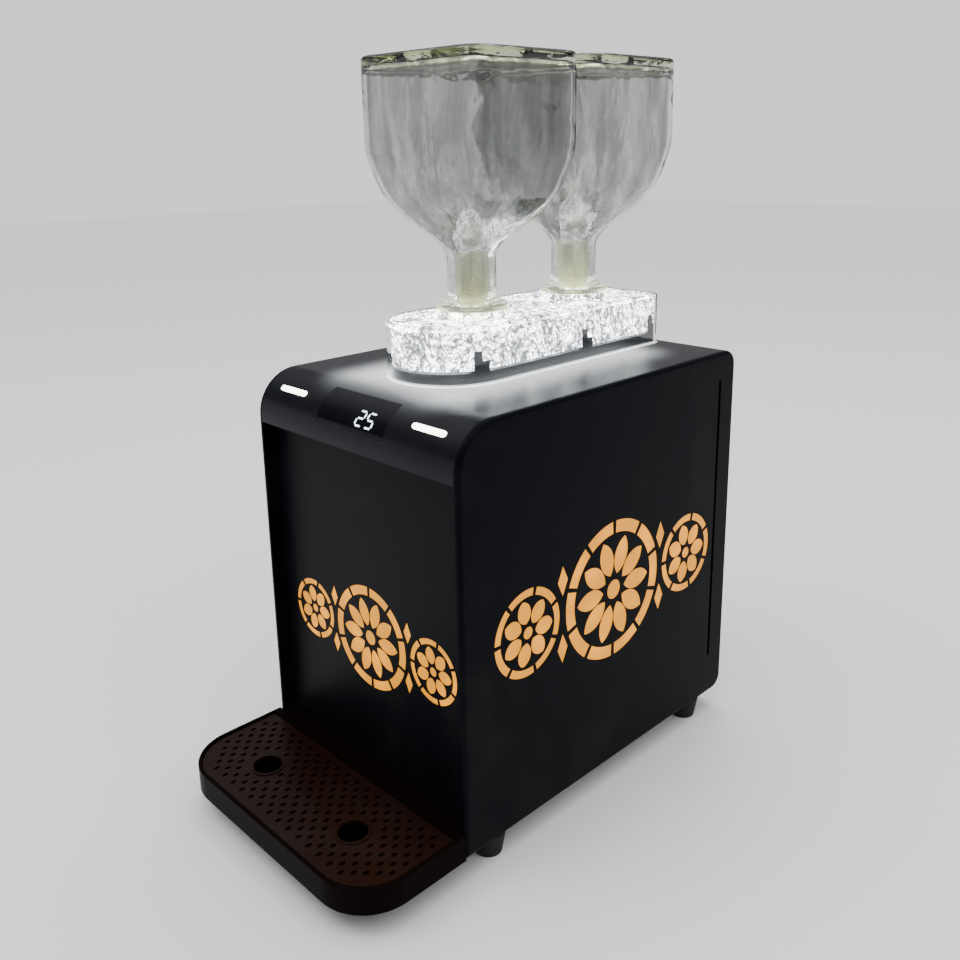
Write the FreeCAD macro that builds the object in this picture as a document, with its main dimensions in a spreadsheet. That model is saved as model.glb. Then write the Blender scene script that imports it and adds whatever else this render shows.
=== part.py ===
"""Two-bottle party shot dispenser: a chilled counter-top case with an illuminated ice block,
two inverted square bottles, two lit dispense keys and a lift-off drip tray.

Millimetres, +Z up, front towards -Y. The origin is at the centre of the overall footprint,
on the table that the feet stand on.
"""
import FreeCAD, Part
import Sketcher
import math
import os

from FreeCAD import Placement, Rotation, Vector

doc = FreeCAD.newDocument("ShotDispenser")


# The driving dimensions, one cell each

DIMENSIONS = {
    # case
    "case_width": 206.0,
    "case_depth": 286.0,
    "case_height": 280.0,
    "foot_height": 16.0,
    "side_thick": 4.0,
    "side_edge_round": 3.0,
    "skin": 2.0,
    "bend_radius": 31.0,
    "rear_radius": 11.0,
    "lip_drop": 35.0,
    "rear_drop": 24.0,
    "panel_recess": 11.0,
    "side_flange": 12.0,
    "base_flange": 14.0,
    "side_slot_width": 3.0,
    "side_slot_inset": 20.0,
    "side_slot_low": 34.0,
    "side_slot_high": 260.0,
    # feet
    "foot_top_radius": 12.0,
    "foot_base_radius": 9.0,
    "foot_inset": 12.5,
    "foot_front": 31.0,
    "foot_back": 34.0,
    "foot_screw_radius": 2.0,
    "foot_screw_reach": 11.0,
    # drip tray
    "tray_reach": 84.0,
    "tray_height": 18.0,
    "tray_corner": 36.0,
    "tray_wall": 2.5,
    "tray_floor": 2.5,
    "tray_ledge": 4.0,
    "tray_back_ledge": 6.6,
    "tray_clearance": 0.4,
    "grille_thick": 2.0,
    "grille_drop": 1.5,
    "tab_width": 20.0,
    "tab_thick": 3.0,
    "tab_reach": 10.0,
    "tab_offset": 60.0,
    "tab_level": 6.0,
    "slot_pitch": 11.0,
    "slot_row": 5.3,
    "slot_long": 5.2,
    "slot_wide": 2.7,
    "slot_margin": 5.5,
    "drain_offset": 48.5,
    "drain_reach": 46.0,
    "drain_radius": 10.0,
    "drain_rim": 1.6,
    # display and keys on the front bend
    "display_half": 34.0,
    "display_low_angle": 17.0,
    "display_high_angle": 68.0,
    "display_margin": 0.3,
    "key_angle": 44.7,
    "key_offset": 69.5,
    "key_length": 29.2,
    "key_width": 3.8,
    "key_clearance": 0.3,
    "key_proud": 0.5,
    "key_travel": 1.2,
    "key_flange": 2.2,
    "key_hang": 0.7,
    "board_level": 12.0,
    "board_width": 12.0,
    "board_thick": 1.6,
    "switch_size": 6.0,
    "module_depth": 7.0,
    # ice block
    "block_width": 87.0,
    "block_front": 47.5,
    "block_back": 272.0,
    "block_height": 38.0,
    "block_corner": 7.0,
    "block_wall": 3.0,
    "block_flange": 1.0,
    "flange_thick": 1.6,
    "band_height": 8.0,
    "light_thick": 1.6,
    "post_height": 22.0,
    "post_width": 11.0,
    "post_deep": 6.0,
    "post_front": 82.0,
    "post_middle": 186.0,
    # bottles and what carries them
    "bottle_front": 112.0,
    "bottle_pitch": 107.0,
    "bottle_width": 118.0,
    "bottle_depth": 101.0,
    "bottle_corner": 17.0,
    "bottle_tall": 166.0,
    "bottle_wall": 4.0,
    "bottle_base": 8.0,
    "bottle_edge": 3.5,
    "shoulder_start": 52.0,
    "neck_length": 40.0,
    "neck_radius": 17.0,
    "neck_bore": 12.0,
    "lip_radius": 25.0,
    "lip_height": 11.0,
    "lip_edge": 3.6,
    "seat_gap": 0.3,
    "socket_flange": 26.0,
    "socket_rim": 2.2,
    "socket_radius": 19.0,
    "socket_shank": 14.6,
    "socket_bore": 11.0,
    "socket_reach": 18.0,
    "seal_thick": 2.0,
    "stopper_radius": 11.9,
    "stopper_tall": 36.0,
    "spout_radius": 9.0,
    "spout_length": 26.0,
    "spout_bore": 3.0,
    # cooling
    "cold_width": 84.0,
    "cold_front": 104.0,
    "cold_back": 230.0,
    "cold_level": 150.0,
    "cold_height": 46.0,
    "foam": 8.0,
    "feed_radius": 5.0,
    "feed_bore": 3.0,
    "peltier_size": 40.0,
    "peltier_thick": 4.0,
    "sink_base": 6.0,
    "sink_width": 90.0,
    "fin_count": 12,
    "fin_thick": 1.5,
    "fan_size": 80.0,
    "fan_thick": 20.0,
    "fan_bore": 37.5,
    "fan_hub": 16.0,
    "fan_tip_gap": 1.0,
    "fan_blades": 7,
    "stand_foot": 10.0,
    "stand_setback": 14.0,
    # pumps
    "pump_offset": 38.5,
    "pump_level": 90.0,
    "pump_plane": 60.0,
    "pump_radius": 21.0,
    "pump_head": 18.0,
    "pump_cavity": 16.5,
    "motor_radius": 13.5,
    "motor_length": 38.0,
    "barb_offset": 10.0,
    "barb_radius": 2.6,
    "barb_length": 8.0,
    "roller_count": 3,
    "roller_radius": 4.0,
    "roller_circle": 9.5,
    "tube_radius": 3.0,
    "tube_bore": 1.8,
    "tube_bend": 18.0,
    "nozzle_radius": 3.0,
    "nozzle_bore": 2.0,
    "nozzle_bend": 4.0,
    "nozzle_level": 250.0,
    "nozzle_reach": 6.5,
    # electrics
    "supply_length": 110.0,
    "supply_width": 60.0,
    "supply_height": 34.0,
    "inlet_width": 27.4,
    "inlet_height": 20.0,
    "inlet_offset": 58.0,
    "inlet_level": 34.0,
    "rocker_width": 13.0,
    "rocker_height": 19.0,
    "rocker_gap": 16.0,
    "rocker_swing": 14.0,
    "control_width": 70.0,
    "control_height": 90.0,
    # ornament windows
    "lamp_thick": 2.0,
    "ornament_depth_place": 143.0,
    "ornament_level": 134.0,
    "front_ornament_level": 110.0,
    "ornament_big": 50.0,
    "ornament_small": 30.0,
    "ornament_spacing": 86.0,
    "front_scale": 0.74,
    "inlay_drop": 0.3,
    "inlay_gap": 0.1,
    # screws
    "screw_radius": 1.5,
    "screw_head": 2.8,
    "screw_head_tall": 1.6,
    "screw_fit": 0.1,
}

sheet = doc.addObject("Spreadsheet::Sheet", "Sizes")
for row, (alias, amount) in enumerate(DIMENSIONS.items(), start=1):
    sheet.set(f"A{row}", alias)
    sheet.set(f"B{row}", str(amount))
    sheet.setAlias(f"B{row}", alias)
doc.recompute()


class Size:
    """A number together with the sheet formula that gives it."""

    def __init__(self, value, formula):
        self.value = float(value)
        self.formula = formula

    def join(self, other, sign, value, swapped=False):
        first, second = (text_of(other), self.formula) if swapped else (self.formula, text_of(other))
        return Size(value, f"({first} {sign} {second})")

    def __add__(self, other):
        return self.join(other, "+", self.value + value_of(other))

    __radd__ = __add__

    def __sub__(self, other):
        return self.join(other, "-", self.value - value_of(other))

    def __rsub__(self, other):
        return self.join(other, "-", value_of(other) - self.value, swapped=True)

    def __mul__(self, other):
        return self.join(other, "*", self.value * value_of(other))

    __rmul__ = __mul__

    def __truediv__(self, other):
        return self.join(other, "/", self.value / value_of(other))

    def __neg__(self):
        return Size(-self.value, f"(0 - {self.formula})")


def value_of(item):
    return item.value if isinstance(item, Size) else float(item)


def text_of(item):
    return item.formula if isinstance(item, Size) else repr(round(float(item), 9))


def cosine(angle):
    return Size(math.cos(math.radians(value_of(angle))), f"cos({text_of(angle)})")


def sine(angle):
    return Size(math.sin(math.radians(value_of(angle))), f"sin({text_of(angle)})")


class Cells:
    """Gives each driving dimension as a Size bound to its cell."""

    def __getattr__(self, alias):
        return Size(DIMENSIONS[alias], f"Sizes.{alias}")


S = Cells()


# Objects of the document, with their sizes and places bound to the sheet

def bind(item, path, size):
    """Ties one property of an object to the sheet when its size comes from there."""
    if isinstance(size, Size):
        item.setExpression(path, size.formula)


def place(item, x=0, y=0, z=0, turn=None):
    item.Placement = Placement(Vector(value_of(x), value_of(y), value_of(z)), turn or Rotation())
    for axis, size in zip("xyz", (x, y, z)):
        bind(item, f"Placement.Base.{axis}", size)
    return item


def feature(kind, label):
    item = doc.addObject(kind, label)
    item.Label = label
    return item


def sized(kind, label, sizes):
    item = feature(kind, label)
    for name, size in sizes.items():
        setattr(item, name, value_of(size))
        bind(item, name, size)
    return item


def block(label, x, y, z, dx, dy, dz):
    """A box from its low corner."""
    return place(sized("Part::Box", label, {"Length": dx, "Width": dy, "Height": dz}), x, y, z)


ALONG = {
    "X": Rotation(Vector(1, 1, 1), 120),
    "Y": Rotation(Vector(1, 0, 0), -90),
    "Z": Rotation(),
    "-Y": Rotation(Vector(1, 0, 0), 90),
}


def rod(label, x, y, z, radius, length, along="Z"):
    """A cylinder from the centre of its first face."""
    item = sized("Part::Cylinder", label, {"Radius": radius, "Height": length})
    return place(item, x, y, z, ALONG[along] if isinstance(along, str) else along)


def cut(label, base, *tools):
    item = feature("Part::Cut", label)
    item.Base = base
    item.Tool = tools[0] if len(tools) == 1 else gather(label + "_tools", tools)
    return item


def fuse(label, *pieces):
    item = feature("Part::MultiFuse", label)
    item.Shapes = list(pieces)
    item.Refine = True
    return item


def common(label, first, second):
    item = feature("Part::MultiCommon", label)
    item.Shapes = [first, second]
    return item


def gather(label, pieces):
    """Separate solids kept side by side in one object."""
    item = feature("Part::Compound", label)
    item.Links = list(pieces)
    return item


def shaped(label, shape):
    """An object whose repeated shape is worked out from the sheet's values."""
    item = feature("Part::Feature", label)
    item.Shape = shape
    return item


# Sketch outlines: loops of steps, each step a corner that the outline goes to

def line(u, v):
    return ("line", u, v, None, None)


def arc(u, v, radius, turn):
    """An arc under half a turn; turn is +1 anticlockwise and -1 clockwise."""
    return ("arc", u, v, radius, turn)


def rectangle(u, v, du, dv):
    return [line(u + du, v), line(u + du, v + dv), line(u, v + dv), line(u, v)]


def centred_rectangle(u, v, du, dv):
    return rectangle(u - du / 2, v - dv / 2, du, dv)


def rounded(u, v, du, dv, r):
    """A rounded rectangle from its low corner."""
    return [
        line(u + du - r, v), arc(u + du, v + r, r, 1),
        line(u + du, v + dv - r), arc(u + du - r, v + dv, r, 1),
        line(u + r, v + dv), arc(u, v + dv - r, r, 1),
        line(u, v + r), arc(u + r, v, r, 1),
    ]


def stadium(u, v, length, width):
    """A bar with round ends, lying along the first axis, about a centre."""
    r = width / 2
    half = length / 2 - r
    return [
        line(u + half, v - r), arc(u + half + r, v, r, 1), arc(u + half, v + r, r, 1),
        line(u - half, v + r), arc(u - half - r, v, r, 1), arc(u - half, v - r, r, 1),
    ]


def disc(u, v, radius):
    return ("disc", u, v, radius)


def add_disc(sketch, ring):
    _, u, v, radius = ring
    circle = Part.Circle(Vector(value_of(u), value_of(v), 0), Vector(0, 0, 1), value_of(radius))
    index = sketch.addGeometry(circle, False)
    fix(sketch, Sketcher.Constraint("Radius", index, value_of(radius)), radius)
    fix(sketch, Sketcher.Constraint("DistanceX", index, 3, value_of(u)), u)
    fix(sketch, Sketcher.Constraint("DistanceY", index, 3, value_of(v)), v)


def fix(sketch, constraint, size=None):
    index = sketch.addConstraint(constraint)
    bind(sketch, f"Constraints[{index}]", size)


def arc_between(start, end, radius, turn):
    """The arc's circle is on the left of the chord when it turns anticlockwise."""
    chord = end - start
    middle = (start + end) * 0.5
    rise = math.sqrt(max(radius ** 2 - (chord.Length / 2) ** 2, 0.0))
    side = Vector(-chord.y, chord.x, 0) / chord.Length
    centre = middle + side * rise * turn
    first, last = (start, end) if turn > 0 else (end, start)
    angles = [math.atan2(p.y - centre.y, p.x - centre.x) for p in (first, last)]
    if angles[1] < angles[0]:
        angles[1] += 2 * math.pi
    return Part.ArcOfCircle(Part.Circle(centre, Vector(0, 0, 1), radius), angles[0], angles[1])


def add_loop(sketch, loop):
    """Adds one closed loop, every corner and radius held by a constraint."""
    corners = [(step[1], step[2]) for step in loop]
    points = [Vector(value_of(u), value_of(v), 0) for u, v in corners]
    ends = []
    for number, (kind, u, v, radius, turn) in enumerate(loop):
        start, end = points[number - 1], points[number]
        if kind == "line":
            index = sketch.addGeometry(Part.LineSegment(start, end), False)
            ends.append((index, 1, 2))
        else:
            curve = arc_between(start, end, value_of(radius), turn)
            index = sketch.addGeometry(curve, False)
            ends.append((index, 1, 2) if turn > 0 else (index, 2, 1))
            fix(sketch, Sketcher.Constraint("Radius", index, value_of(radius)), radius)
    for number, (index, _, last) in enumerate(ends):
        following, first, _ = ends[(number + 1) % len(ends)]
        fix(sketch, Sketcher.Constraint("Coincident", index, last, following, first))
        u, v = corners[number]
        fix(sketch, Sketcher.Constraint("DistanceX", index, last, value_of(u)), u)
        fix(sketch, Sketcher.Constraint("DistanceY", index, last, value_of(v)), v)


def body(label, x=0, y=0, z=0, turn=None):
    item = feature("PartDesign::Body", label)
    return place(item, x, y, z, turn)


def plane_of(owner, role):
    return next(item for item in owner.Origin.OriginFeatures if item.Role == role)


def sketch_on(owner, role, loops, lift=0):
    """A sketch on one of the body's own planes, lifted along that plane's normal."""
    sketch = owner.newObject("Sketcher::SketchObject", owner.Label + "_sketch")
    sketch.AttachmentSupport = [(plane_of(owner, role), "")]
    sketch.MapMode = "FlatFace"
    sketch.AttachmentOffset = Placement(Vector(0, 0, value_of(lift)), Rotation())
    bind(sketch, "AttachmentOffset.Base.z", lift)
    for loop in loops:
        if loop[0] == "disc":
            add_disc(sketch, loop)
        else:
            add_loop(sketch, loop)
    return sketch


def pad(owner, role, loops, length, lift=0, reverse=False, centred=False):
    """Adds material along the normal of a plane of the body."""
    item = owner.newObject("PartDesign::Pad", owner.Label + "_pad")
    item.Profile = sketch_on(owner, role, loops, lift)
    item.Length = value_of(length)
    item.Midplane = centred
    item.Reversed = reverse
    bind(item, "Length", length)
    owner.Tip = item
    return item


def pocket(owner, role, loops, length, lift=0, reverse=False, centred=False):
    """Takes material away, from the sketch against the normal unless reversed."""
    item = owner.newObject("PartDesign::Pocket", owner.Label + "_pocket")
    item.Profile = sketch_on(owner, role, loops, lift)
    item.Length = value_of(length)
    item.Midplane = centred
    item.Reversed = reverse
    bind(item, "Length", length)
    owner.Tip = item
    return item


def turned(label, profile, x=0, y=0, z=0, turn=None):
    """A piece turned about its own Z axis; the profile is in radius and height."""
    owner = body(label, x, y, z, turn)
    item = owner.newObject("PartDesign::Revolution", label + "_turning")
    sketch = sketch_on(owner, "XZ_Plane", [profile])
    item.Profile = sketch
    item.ReferenceAxis = (sketch, ["V_Axis"])
    item.Angle = 360
    owner.Tip = item
    return owner


def path_profile(*corners):
    """A profile of straight steps through (radius, height) corners."""
    return [line(r, h) for r, h in corners]


def round_edges(owner, radius, wanted):
    """Rounds the edges of the body's tip that a test picks, and says how many there were."""
    doc.recompute()
    tip = owner.Tip
    names = [f"Edge{n}" for n, edge in enumerate(tip.Shape.Edges, start=1) if wanted(edge)]
    item = owner.newObject("PartDesign::Fillet", owner.Label + "_round")
    item.Base = (tip, names)
    item.Radius = value_of(radius)
    bind(item, "Radius", radius)
    owner.Tip = item
    return item


NODES = {}


def node(item):
    """Marks an object as one of the sub-parts that are written out."""
    NODES[item.Label] = item
    return item


# Shared places: the front plane of the case, its floor, and the insides of its walls

FRONT = (S.tray_reach - S.case_depth) / 2
FLOOR = S.foot_height
TOP = FLOOR + S.case_height
BACK = FRONT + S.case_depth
INNER = S.case_width / 2 - S.side_thick
PANEL_FACE = FRONT + S.panel_recess
PANEL_BACK = PANEL_FACE + S.skin
REAR_FACE = BACK - S.skin
REAR_INSIDE = REAR_FACE - S.skin
LIP_EDGE = TOP - S.lip_drop
BEND_Y = FRONT + S.bend_radius
BEND_Z = TOP - S.bend_radius
CEILING = TOP - S.skin


def mirrored(build):
    """Builds a piece for each side; the hand is -1 on the left and +1 on the right."""
    return [build(name, hand) for name, hand in (("left", -1), ("right", 1))]


# Case: two side plates, the wrapped top cover, front and rear panels and the floor pan

def ornament_cells(scale, inset=0.0):
    """The windows of the ornament as closed wires in a flat plane, about its own centre.

    A large rosette stands between two small ones. Each has pointed petals in a ring of bars,
    and lozenges fill the gaps between the rings. The inset shrinks every window a little.
    """
    cells = []

    def petal(middle, angle, inner, outer, bulge):
        along = Vector(math.cos(angle), math.sin(angle), 0)
        across = Vector(-along.y, along.x, 0)
        first = middle + along * inner
        last = middle + along * outer
        centre = middle + along * (inner + (outer - inner) * 0.58)
        one = Part.Arc(first, centre + across * bulge, last).toShape()
        two = Part.Arc(last, centre - across * bulge, first).toShape()
        cells.append(Part.Wire([one, two]))

    def bar(middle, start, end, inner, outer):
        def at(radius, angle):
            return middle + Vector(radius * math.cos(angle), radius * math.sin(angle), 0)

        half = (start + end) / 2
        cells.append(Part.Wire([
            Part.Arc(at(outer, start), at(outer, half), at(outer, end)).toShape(),
            Part.makeLine(at(outer, end), at(inner, end)),
            Part.Arc(at(inner, end), at(inner, half), at(inner, start)).toShape(),
            Part.makeLine(at(inner, start), at(outer, start)),
        ]))

    def rosette(middle, radius, petals):
        step = 2 * math.pi / petals
        gap = 0.05 * step + inset / radius
        bulge = radius * 1.38 / petals - inset
        for number in range(petals):
            angle = number * step
            petal(middle, angle, radius * 0.22 + inset * 2, radius * 0.77 - inset * 2, bulge)
            bar(middle, angle - step / 2 + gap, angle + step / 2 - gap, radius * 0.82 + inset, radius - inset)
        cells.append(Part.Wire(Part.makeCircle(radius * 0.14 - inset, middle)))

    def lozenge(middle, wide, tall):
        points = [Vector(wide, 0, 0), Vector(0, tall, 0), Vector(-wide, 0, 0), Vector(0, -tall, 0)]
        corners = [middle + point for point in points]
        cells.append(Part.makePolygon(corners + corners[:1]))

    big = S.ornament_big.value * scale
    small = S.ornament_small.value * scale
    reach = S.ornament_spacing.value * scale
    rosette(Vector(0, 0, 0), big, 10)
    for side in (-1, 1):
        rosette(Vector(side * reach, 0, 0), small, 7)
        for rise in (-1, 1):
            place_x = side * (big + (reach - big - small) / 2)
            lozenge(Vector(place_x, rise * small * 0.8, 0), small * 0.17 - inset * 1.5, small * 0.36 - inset * 3)
    return cells


def ornament_cutter(label, scale, depth, x, y, z, turn, inset=0.0):
    """The ornament's windows as prisms that go right through a panel."""
    prisms = [Part.Face(cell).extrude(Vector(0, 0, value_of(depth))) for cell in ornament_cells(scale, inset)]
    item = shaped(label, Part.makeCompound(prisms))
    return place(item, x, y, z, turn)


def side_outline():
    """The side plate's edge in depth and height from its lower front corner."""
    depth, height = S.case_depth, S.case_height
    bend, corner = S.bend_radius, S.rear_radius
    return [
        line(depth - corner, 0), arc(depth, corner, corner, 1),
        line(depth, height - corner), arc(depth - corner, height, corner, 1),
        line(bend, height), arc(0, height - bend, bend, 1), line(0, 0),
    ]


def side_panel(name, hand):
    """A plate with a rounded rim, a vent slot near the back, two inner flanges and windows."""
    label = f"side_panel_{name}"
    start = S.case_width / 2 - S.side_thick if hand > 0 else -S.case_width / 2
    plate = body(label + "_plate", start, FRONT, FLOOR)
    pad(plate, "YZ_Plane", [side_outline()], S.side_thick)
    slot_u = S.case_depth - S.side_slot_inset
    slot_tall = S.side_slot_high - S.side_slot_low
    slot = rounded(slot_u - S.side_slot_width / 2, S.side_slot_low, S.side_slot_width, slot_tall,
                   S.side_slot_width / 2 - 0.01)
    pocket(plate, "YZ_Plane", [slot], S.side_thick, reverse=True)
    outer = S.side_thick.value if hand > 0 else 0.0

    def rim(edge):
        box = edge.BoundBox
        flat = abs(box.XMin - outer) < 1e-4 and abs(box.XMax - outer) < 1e-4
        slot_edge = box.YLength < 5 and box.YMin > 5 and box.YMax < S.case_depth.value - 5
        long_slot = box.ZLength > 200 and 5 < box.YMin and box.YMax < S.case_depth.value - 5
        return flat and not slot_edge and not long_slot

    round_edges(plate, S.side_edge_round, rim)
    inside = INNER - S.side_flange if hand > 0 else -INNER
    flange_tall = S.case_height - S.lip_drop - S.base_flange * 2
    flanges = [
        block(f"{label}_front_flange", inside, PANEL_BACK, FLOOR + S.base_flange * 1.5,
              S.side_flange, S.skin, flange_tall),
        block(f"{label}_rear_flange", inside, REAR_INSIDE - S.skin, FLOOR + S.base_flange * 1.5,
              S.side_flange, S.skin, flange_tall),
    ]
    whole = fuse(label + "_whole", plate, *flanges)
    windows = ornament_cutter(label + "_ornament", 1.0, S.side_thick + 2, start - 1,
                              FRONT + S.ornament_depth_place, FLOOR + S.ornament_level, ALONG["X"])
    holes = [
        rod(f"{label}_tap_{number}", hand * SCREW_X, REAR_INSIDE - S.skin * 2, height,
            S.screw_radius + S.screw_fit, S.skin * 3, "Y")
        for number, height in enumerate(SCREW_LEVELS)
    ]
    return node(cut(label, whole, windows, *holes))


SCREW_X = INNER - S.side_flange / 2
SCREW_LEVELS = [FLOOR + S.base_flange * 2.5, FLOOR + S.case_height * 0.45,
                FLOOR + S.case_height - S.lip_drop - S.base_flange * 1.5]


def cover_outline():
    """The cover's sheet from the lip over the bend and the top to the rear lip."""
    depth, height, thick = S.case_depth, S.case_height, S.skin
    bend, corner = S.bend_radius, S.rear_radius
    return [
        line(0, height - bend), arc(bend, height, bend, -1),
        line(depth - corner, height), arc(depth, height - corner, corner, -1),
        line(depth, height - S.rear_drop), line(depth - thick, height - S.rear_drop),
        line(depth - thick, height - corner), arc(depth - corner, height - thick, corner - thick, 1),
        line(bend, height - thick), arc(thick, height - bend, bend - thick, 1),
        line(thick, height - S.lip_drop), line(0, height - S.lip_drop),
    ]


def bend_turn(angle):
    """Turns a cylinder so that it lies along X and its sector ends at an angle above the front."""
    return Rotation(Vector(1, 0, 0), 180 - value_of(angle)) * ALONG["X"]


def bend_sector(label, half, low, high, outer, inner):
    """Part of a tube about the bend's axis, between two angles above the front."""
    wedge = sized("Part::Cylinder", label + "_wedge", {"Radius": outer, "Height": half * 2, "Angle": high - low})
    place(wedge, -half, BEND_Y, BEND_Z, bend_turn(high))
    core = rod(label + "_core", -half - 1, BEND_Y, BEND_Z, inner, half * 2 + 2, "X")
    return cut(label, wedge, core)


KEY_TURN = Rotation(Vector(1, 0, 0), 90 - S.key_angle.value)


def on_bend(level, along=0):
    """A point at a radius from the bend's axis, along the keys' direction, and across it."""
    y = BEND_Y - level * cosine(S.key_angle) + along * sine(S.key_angle)
    z = BEND_Z + level * sine(S.key_angle) + along * cosine(S.key_angle)
    return y, z


def key_bar(label, x, level, length, width, tall):
    """A round-ended bar that stands on the keys' direction."""
    y, z = on_bend(level)
    bar = body(label, x, y, z, KEY_TURN)
    pad(bar, "XY_Plane", [stadium(0, 0, length, width)], tall)
    return bar


def top_cover():
    """The wrapped cover, with the display's window, the keys' slots and the sockets' holes."""
    sheet_body = body("top_cover_sheet", 0, FRONT, FLOOR)
    pad(sheet_body, "YZ_Plane", [cover_outline()], INNER * 2, centred=True)
    window = bend_sector("top_cover_window", S.display_half + S.display_margin,
                         S.display_low_angle, S.display_high_angle,
                         S.bend_radius + S.skin, S.bend_radius - S.skin * 2)
    slots = mirrored(lambda name, hand: key_bar(
        f"top_cover_slot_{name}", S.key_offset * hand, S.bend_radius - S.skin * 3,
        S.key_length + S.key_clearance * 2, S.key_width + S.key_clearance * 2, S.skin * 6))
    sockets = [
        rod(f"top_cover_hole_{name}", 0, y, CEILING - S.skin, S.socket_shank + S.screw_fit, S.skin * 4)
        for name, y in BOTTLES
    ]
    lead = rod("top_cover_lead_hole", 0, FRONT + S.bottle_front + S.bottle_pitch / 2,
               CEILING - S.skin, S.block_wall, S.skin * 4)
    return node(cut("top_cover", sheet_body, window, *slots, *sockets, lead))


BOTTLES = [("front", FRONT + S.bottle_front), ("rear", FRONT + S.bottle_front + S.bottle_pitch)]


def tab_loops(clearance):
    """The two tray tabs' sections, seen from the front, with a clearance all round."""
    return [
        rectangle(S.tab_offset * hand - S.tab_width / 2 - clearance, S.tab_level - clearance,
                  S.tab_width + clearance * 2, S.tab_thick + clearance * 2)
        for hand in (-1, 1)
    ]


def front_panel():
    """The recessed front plate with its ornament, tab slots and nozzle holes."""
    tall = S.nozzle_level + S.nozzle_radius * 2 - S.skin
    plate = body("front_panel_plate", 0, PANEL_BACK, FLOOR)
    pad(plate, "XZ_Plane", [rectangle(-INNER, 0, INNER * 2, tall)], S.skin)
    pocket(plate, "XZ_Plane", tab_loops(S.tray_clearance), S.skin, reverse=True)
    pipes = [disc(S.drain_offset * hand, S.nozzle_level, S.nozzle_radius + S.screw_fit) for hand in (-1, 1)]
    pocket(plate, "XZ_Plane", pipes, S.skin, reverse=True)
    windows = ornament_cutter("front_panel_ornament", S.front_scale.value, S.skin + 2, 0, PANEL_BACK + 1,
                              FLOOR + S.front_ornament_level, ALONG["-Y"])
    return node(cut("front_panel", plate, windows))


FAN_Z = FLOOR + S.cold_level + S.cold_height / 2 - S.skin * 1.5
SWITCH_X = S.inlet_offset
SWITCH_Z = FLOOR + S.inlet_level + S.inlet_height / 2 + S.rocker_gap + S.rocker_height / 2


def rear_panel():
    """The rear plate with the fan's exhaust louvres, the inlet's and switch's cut-outs."""
    tall = S.case_height - S.rear_radius
    plate = body("rear_panel_plate", 0, REAR_FACE, FLOOR)
    pad(plate, "XZ_Plane", [rectangle(-INNER, 0, INNER * 2, tall)], S.skin)
    rows = 9
    louvres = []
    for number in range(rows):
        rise = (number - (rows - 1) / 2) * 8.0
        half = math.sqrt(max(S.fan_bore.value ** 2 - rise ** 2, 0.0)) - 3.0
        louvres.append(stadium(0, FAN_Z - FLOOR + rise, Size(half * 2, repr(half * 2)), Size(4.0, "4")))
    pocket(plate, "XZ_Plane", louvres, S.skin, reverse=True)
    inlet = centred_rectangle(S.inlet_offset, S.inlet_level, S.inlet_width, S.inlet_height)
    switch = centred_rectangle(SWITCH_X, SWITCH_Z - FLOOR, S.rocker_width + 2, S.rocker_height + 2)
    pocket(plate, "XZ_Plane", [inlet, switch], S.skin, reverse=True)
    holes = [
        rod(f"rear_panel_hole_{number}_{name}", SCREW_X * hand, REAR_INSIDE - 1, height,
            S.screw_radius + S.screw_fit, S.skin + 2, "Y")
        for number, height in enumerate(SCREW_LEVELS) for name, hand in (("left", -1), ("right", 1))
    ]
    return node(cut("rear_panel", plate, *holes))


FEET = [
    (f"{row}_{name}", (S.case_width / 2 - S.foot_inset) * hand, y)
    for row, y in (("front", FRONT + S.foot_front), ("rear", BACK - S.foot_back))
    for name, hand in (("left", -1), ("right", 1))
]


def base_plate():
    """The floor pan with turned-up sides, air slots and the feet's screw holes."""
    length = REAR_INSIDE - PANEL_BACK
    pan = body("base_plate_pan", 0, REAR_INSIDE, FLOOR)
    outer = INNER
    profile = [
        line(outer, 0), line(outer, S.base_flange), line(outer - S.skin, S.base_flange),
        line(outer - S.skin, S.skin), line(S.skin - outer, S.skin), line(S.skin - outer, S.base_flange),
        line(-outer, S.base_flange), line(-outer, 0),
    ]
    pad(pan, "XZ_Plane", [profile], length)
    slots = [stadium(0, (S.case_depth * 0.3 + 14 * number) - length, S.fan_size, S.side_slot_width * 1.6)
             for number in range(6)]
    pocket(pan, "XY_Plane", slots, S.skin, reverse=True)
    holes = [
        rod(f"base_plate_hole_{name}", x, y, FLOOR - 1, S.foot_screw_radius + S.screw_fit, S.skin + 2)
        for name, x, y in FEET
    ]
    return node(cut("base_plate", pan, *holes))


def feet():
    """Four tapered rubber feet, each with the blind hole of its screw."""
    for name, x, y in FEET:
        cone = sized("Part::Cone", f"foot_{name}_cone", {
            "Radius1": S.foot_base_radius, "Radius2": S.foot_top_radius, "Height": S.foot_height})
        place(cone, x, y, 0)
        hole = rod(f"foot_{name}_hole", x, y, S.foot_height - S.foot_screw_reach,
                   S.foot_screw_radius + S.screw_fit, S.foot_screw_reach + 1)
        node(cut(f"foot_{name}", cone, hole))
    screws = []
    for name, x, y in FEET:
        length = S.foot_screw_reach - 1 + S.skin
        head = rod(f"foot_screw_head_{name}", x, y, FLOOR + S.skin, S.foot_screw_radius * 2, S.skin)
        shank = rod(f"foot_screw_shank_{name}", x, y, FLOOR + S.skin - length, S.foot_screw_radius, length)
        screws.append(fuse(f"foot_screw_{name}", head, shank))
    node(gather("foot_screws", screws))


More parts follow.
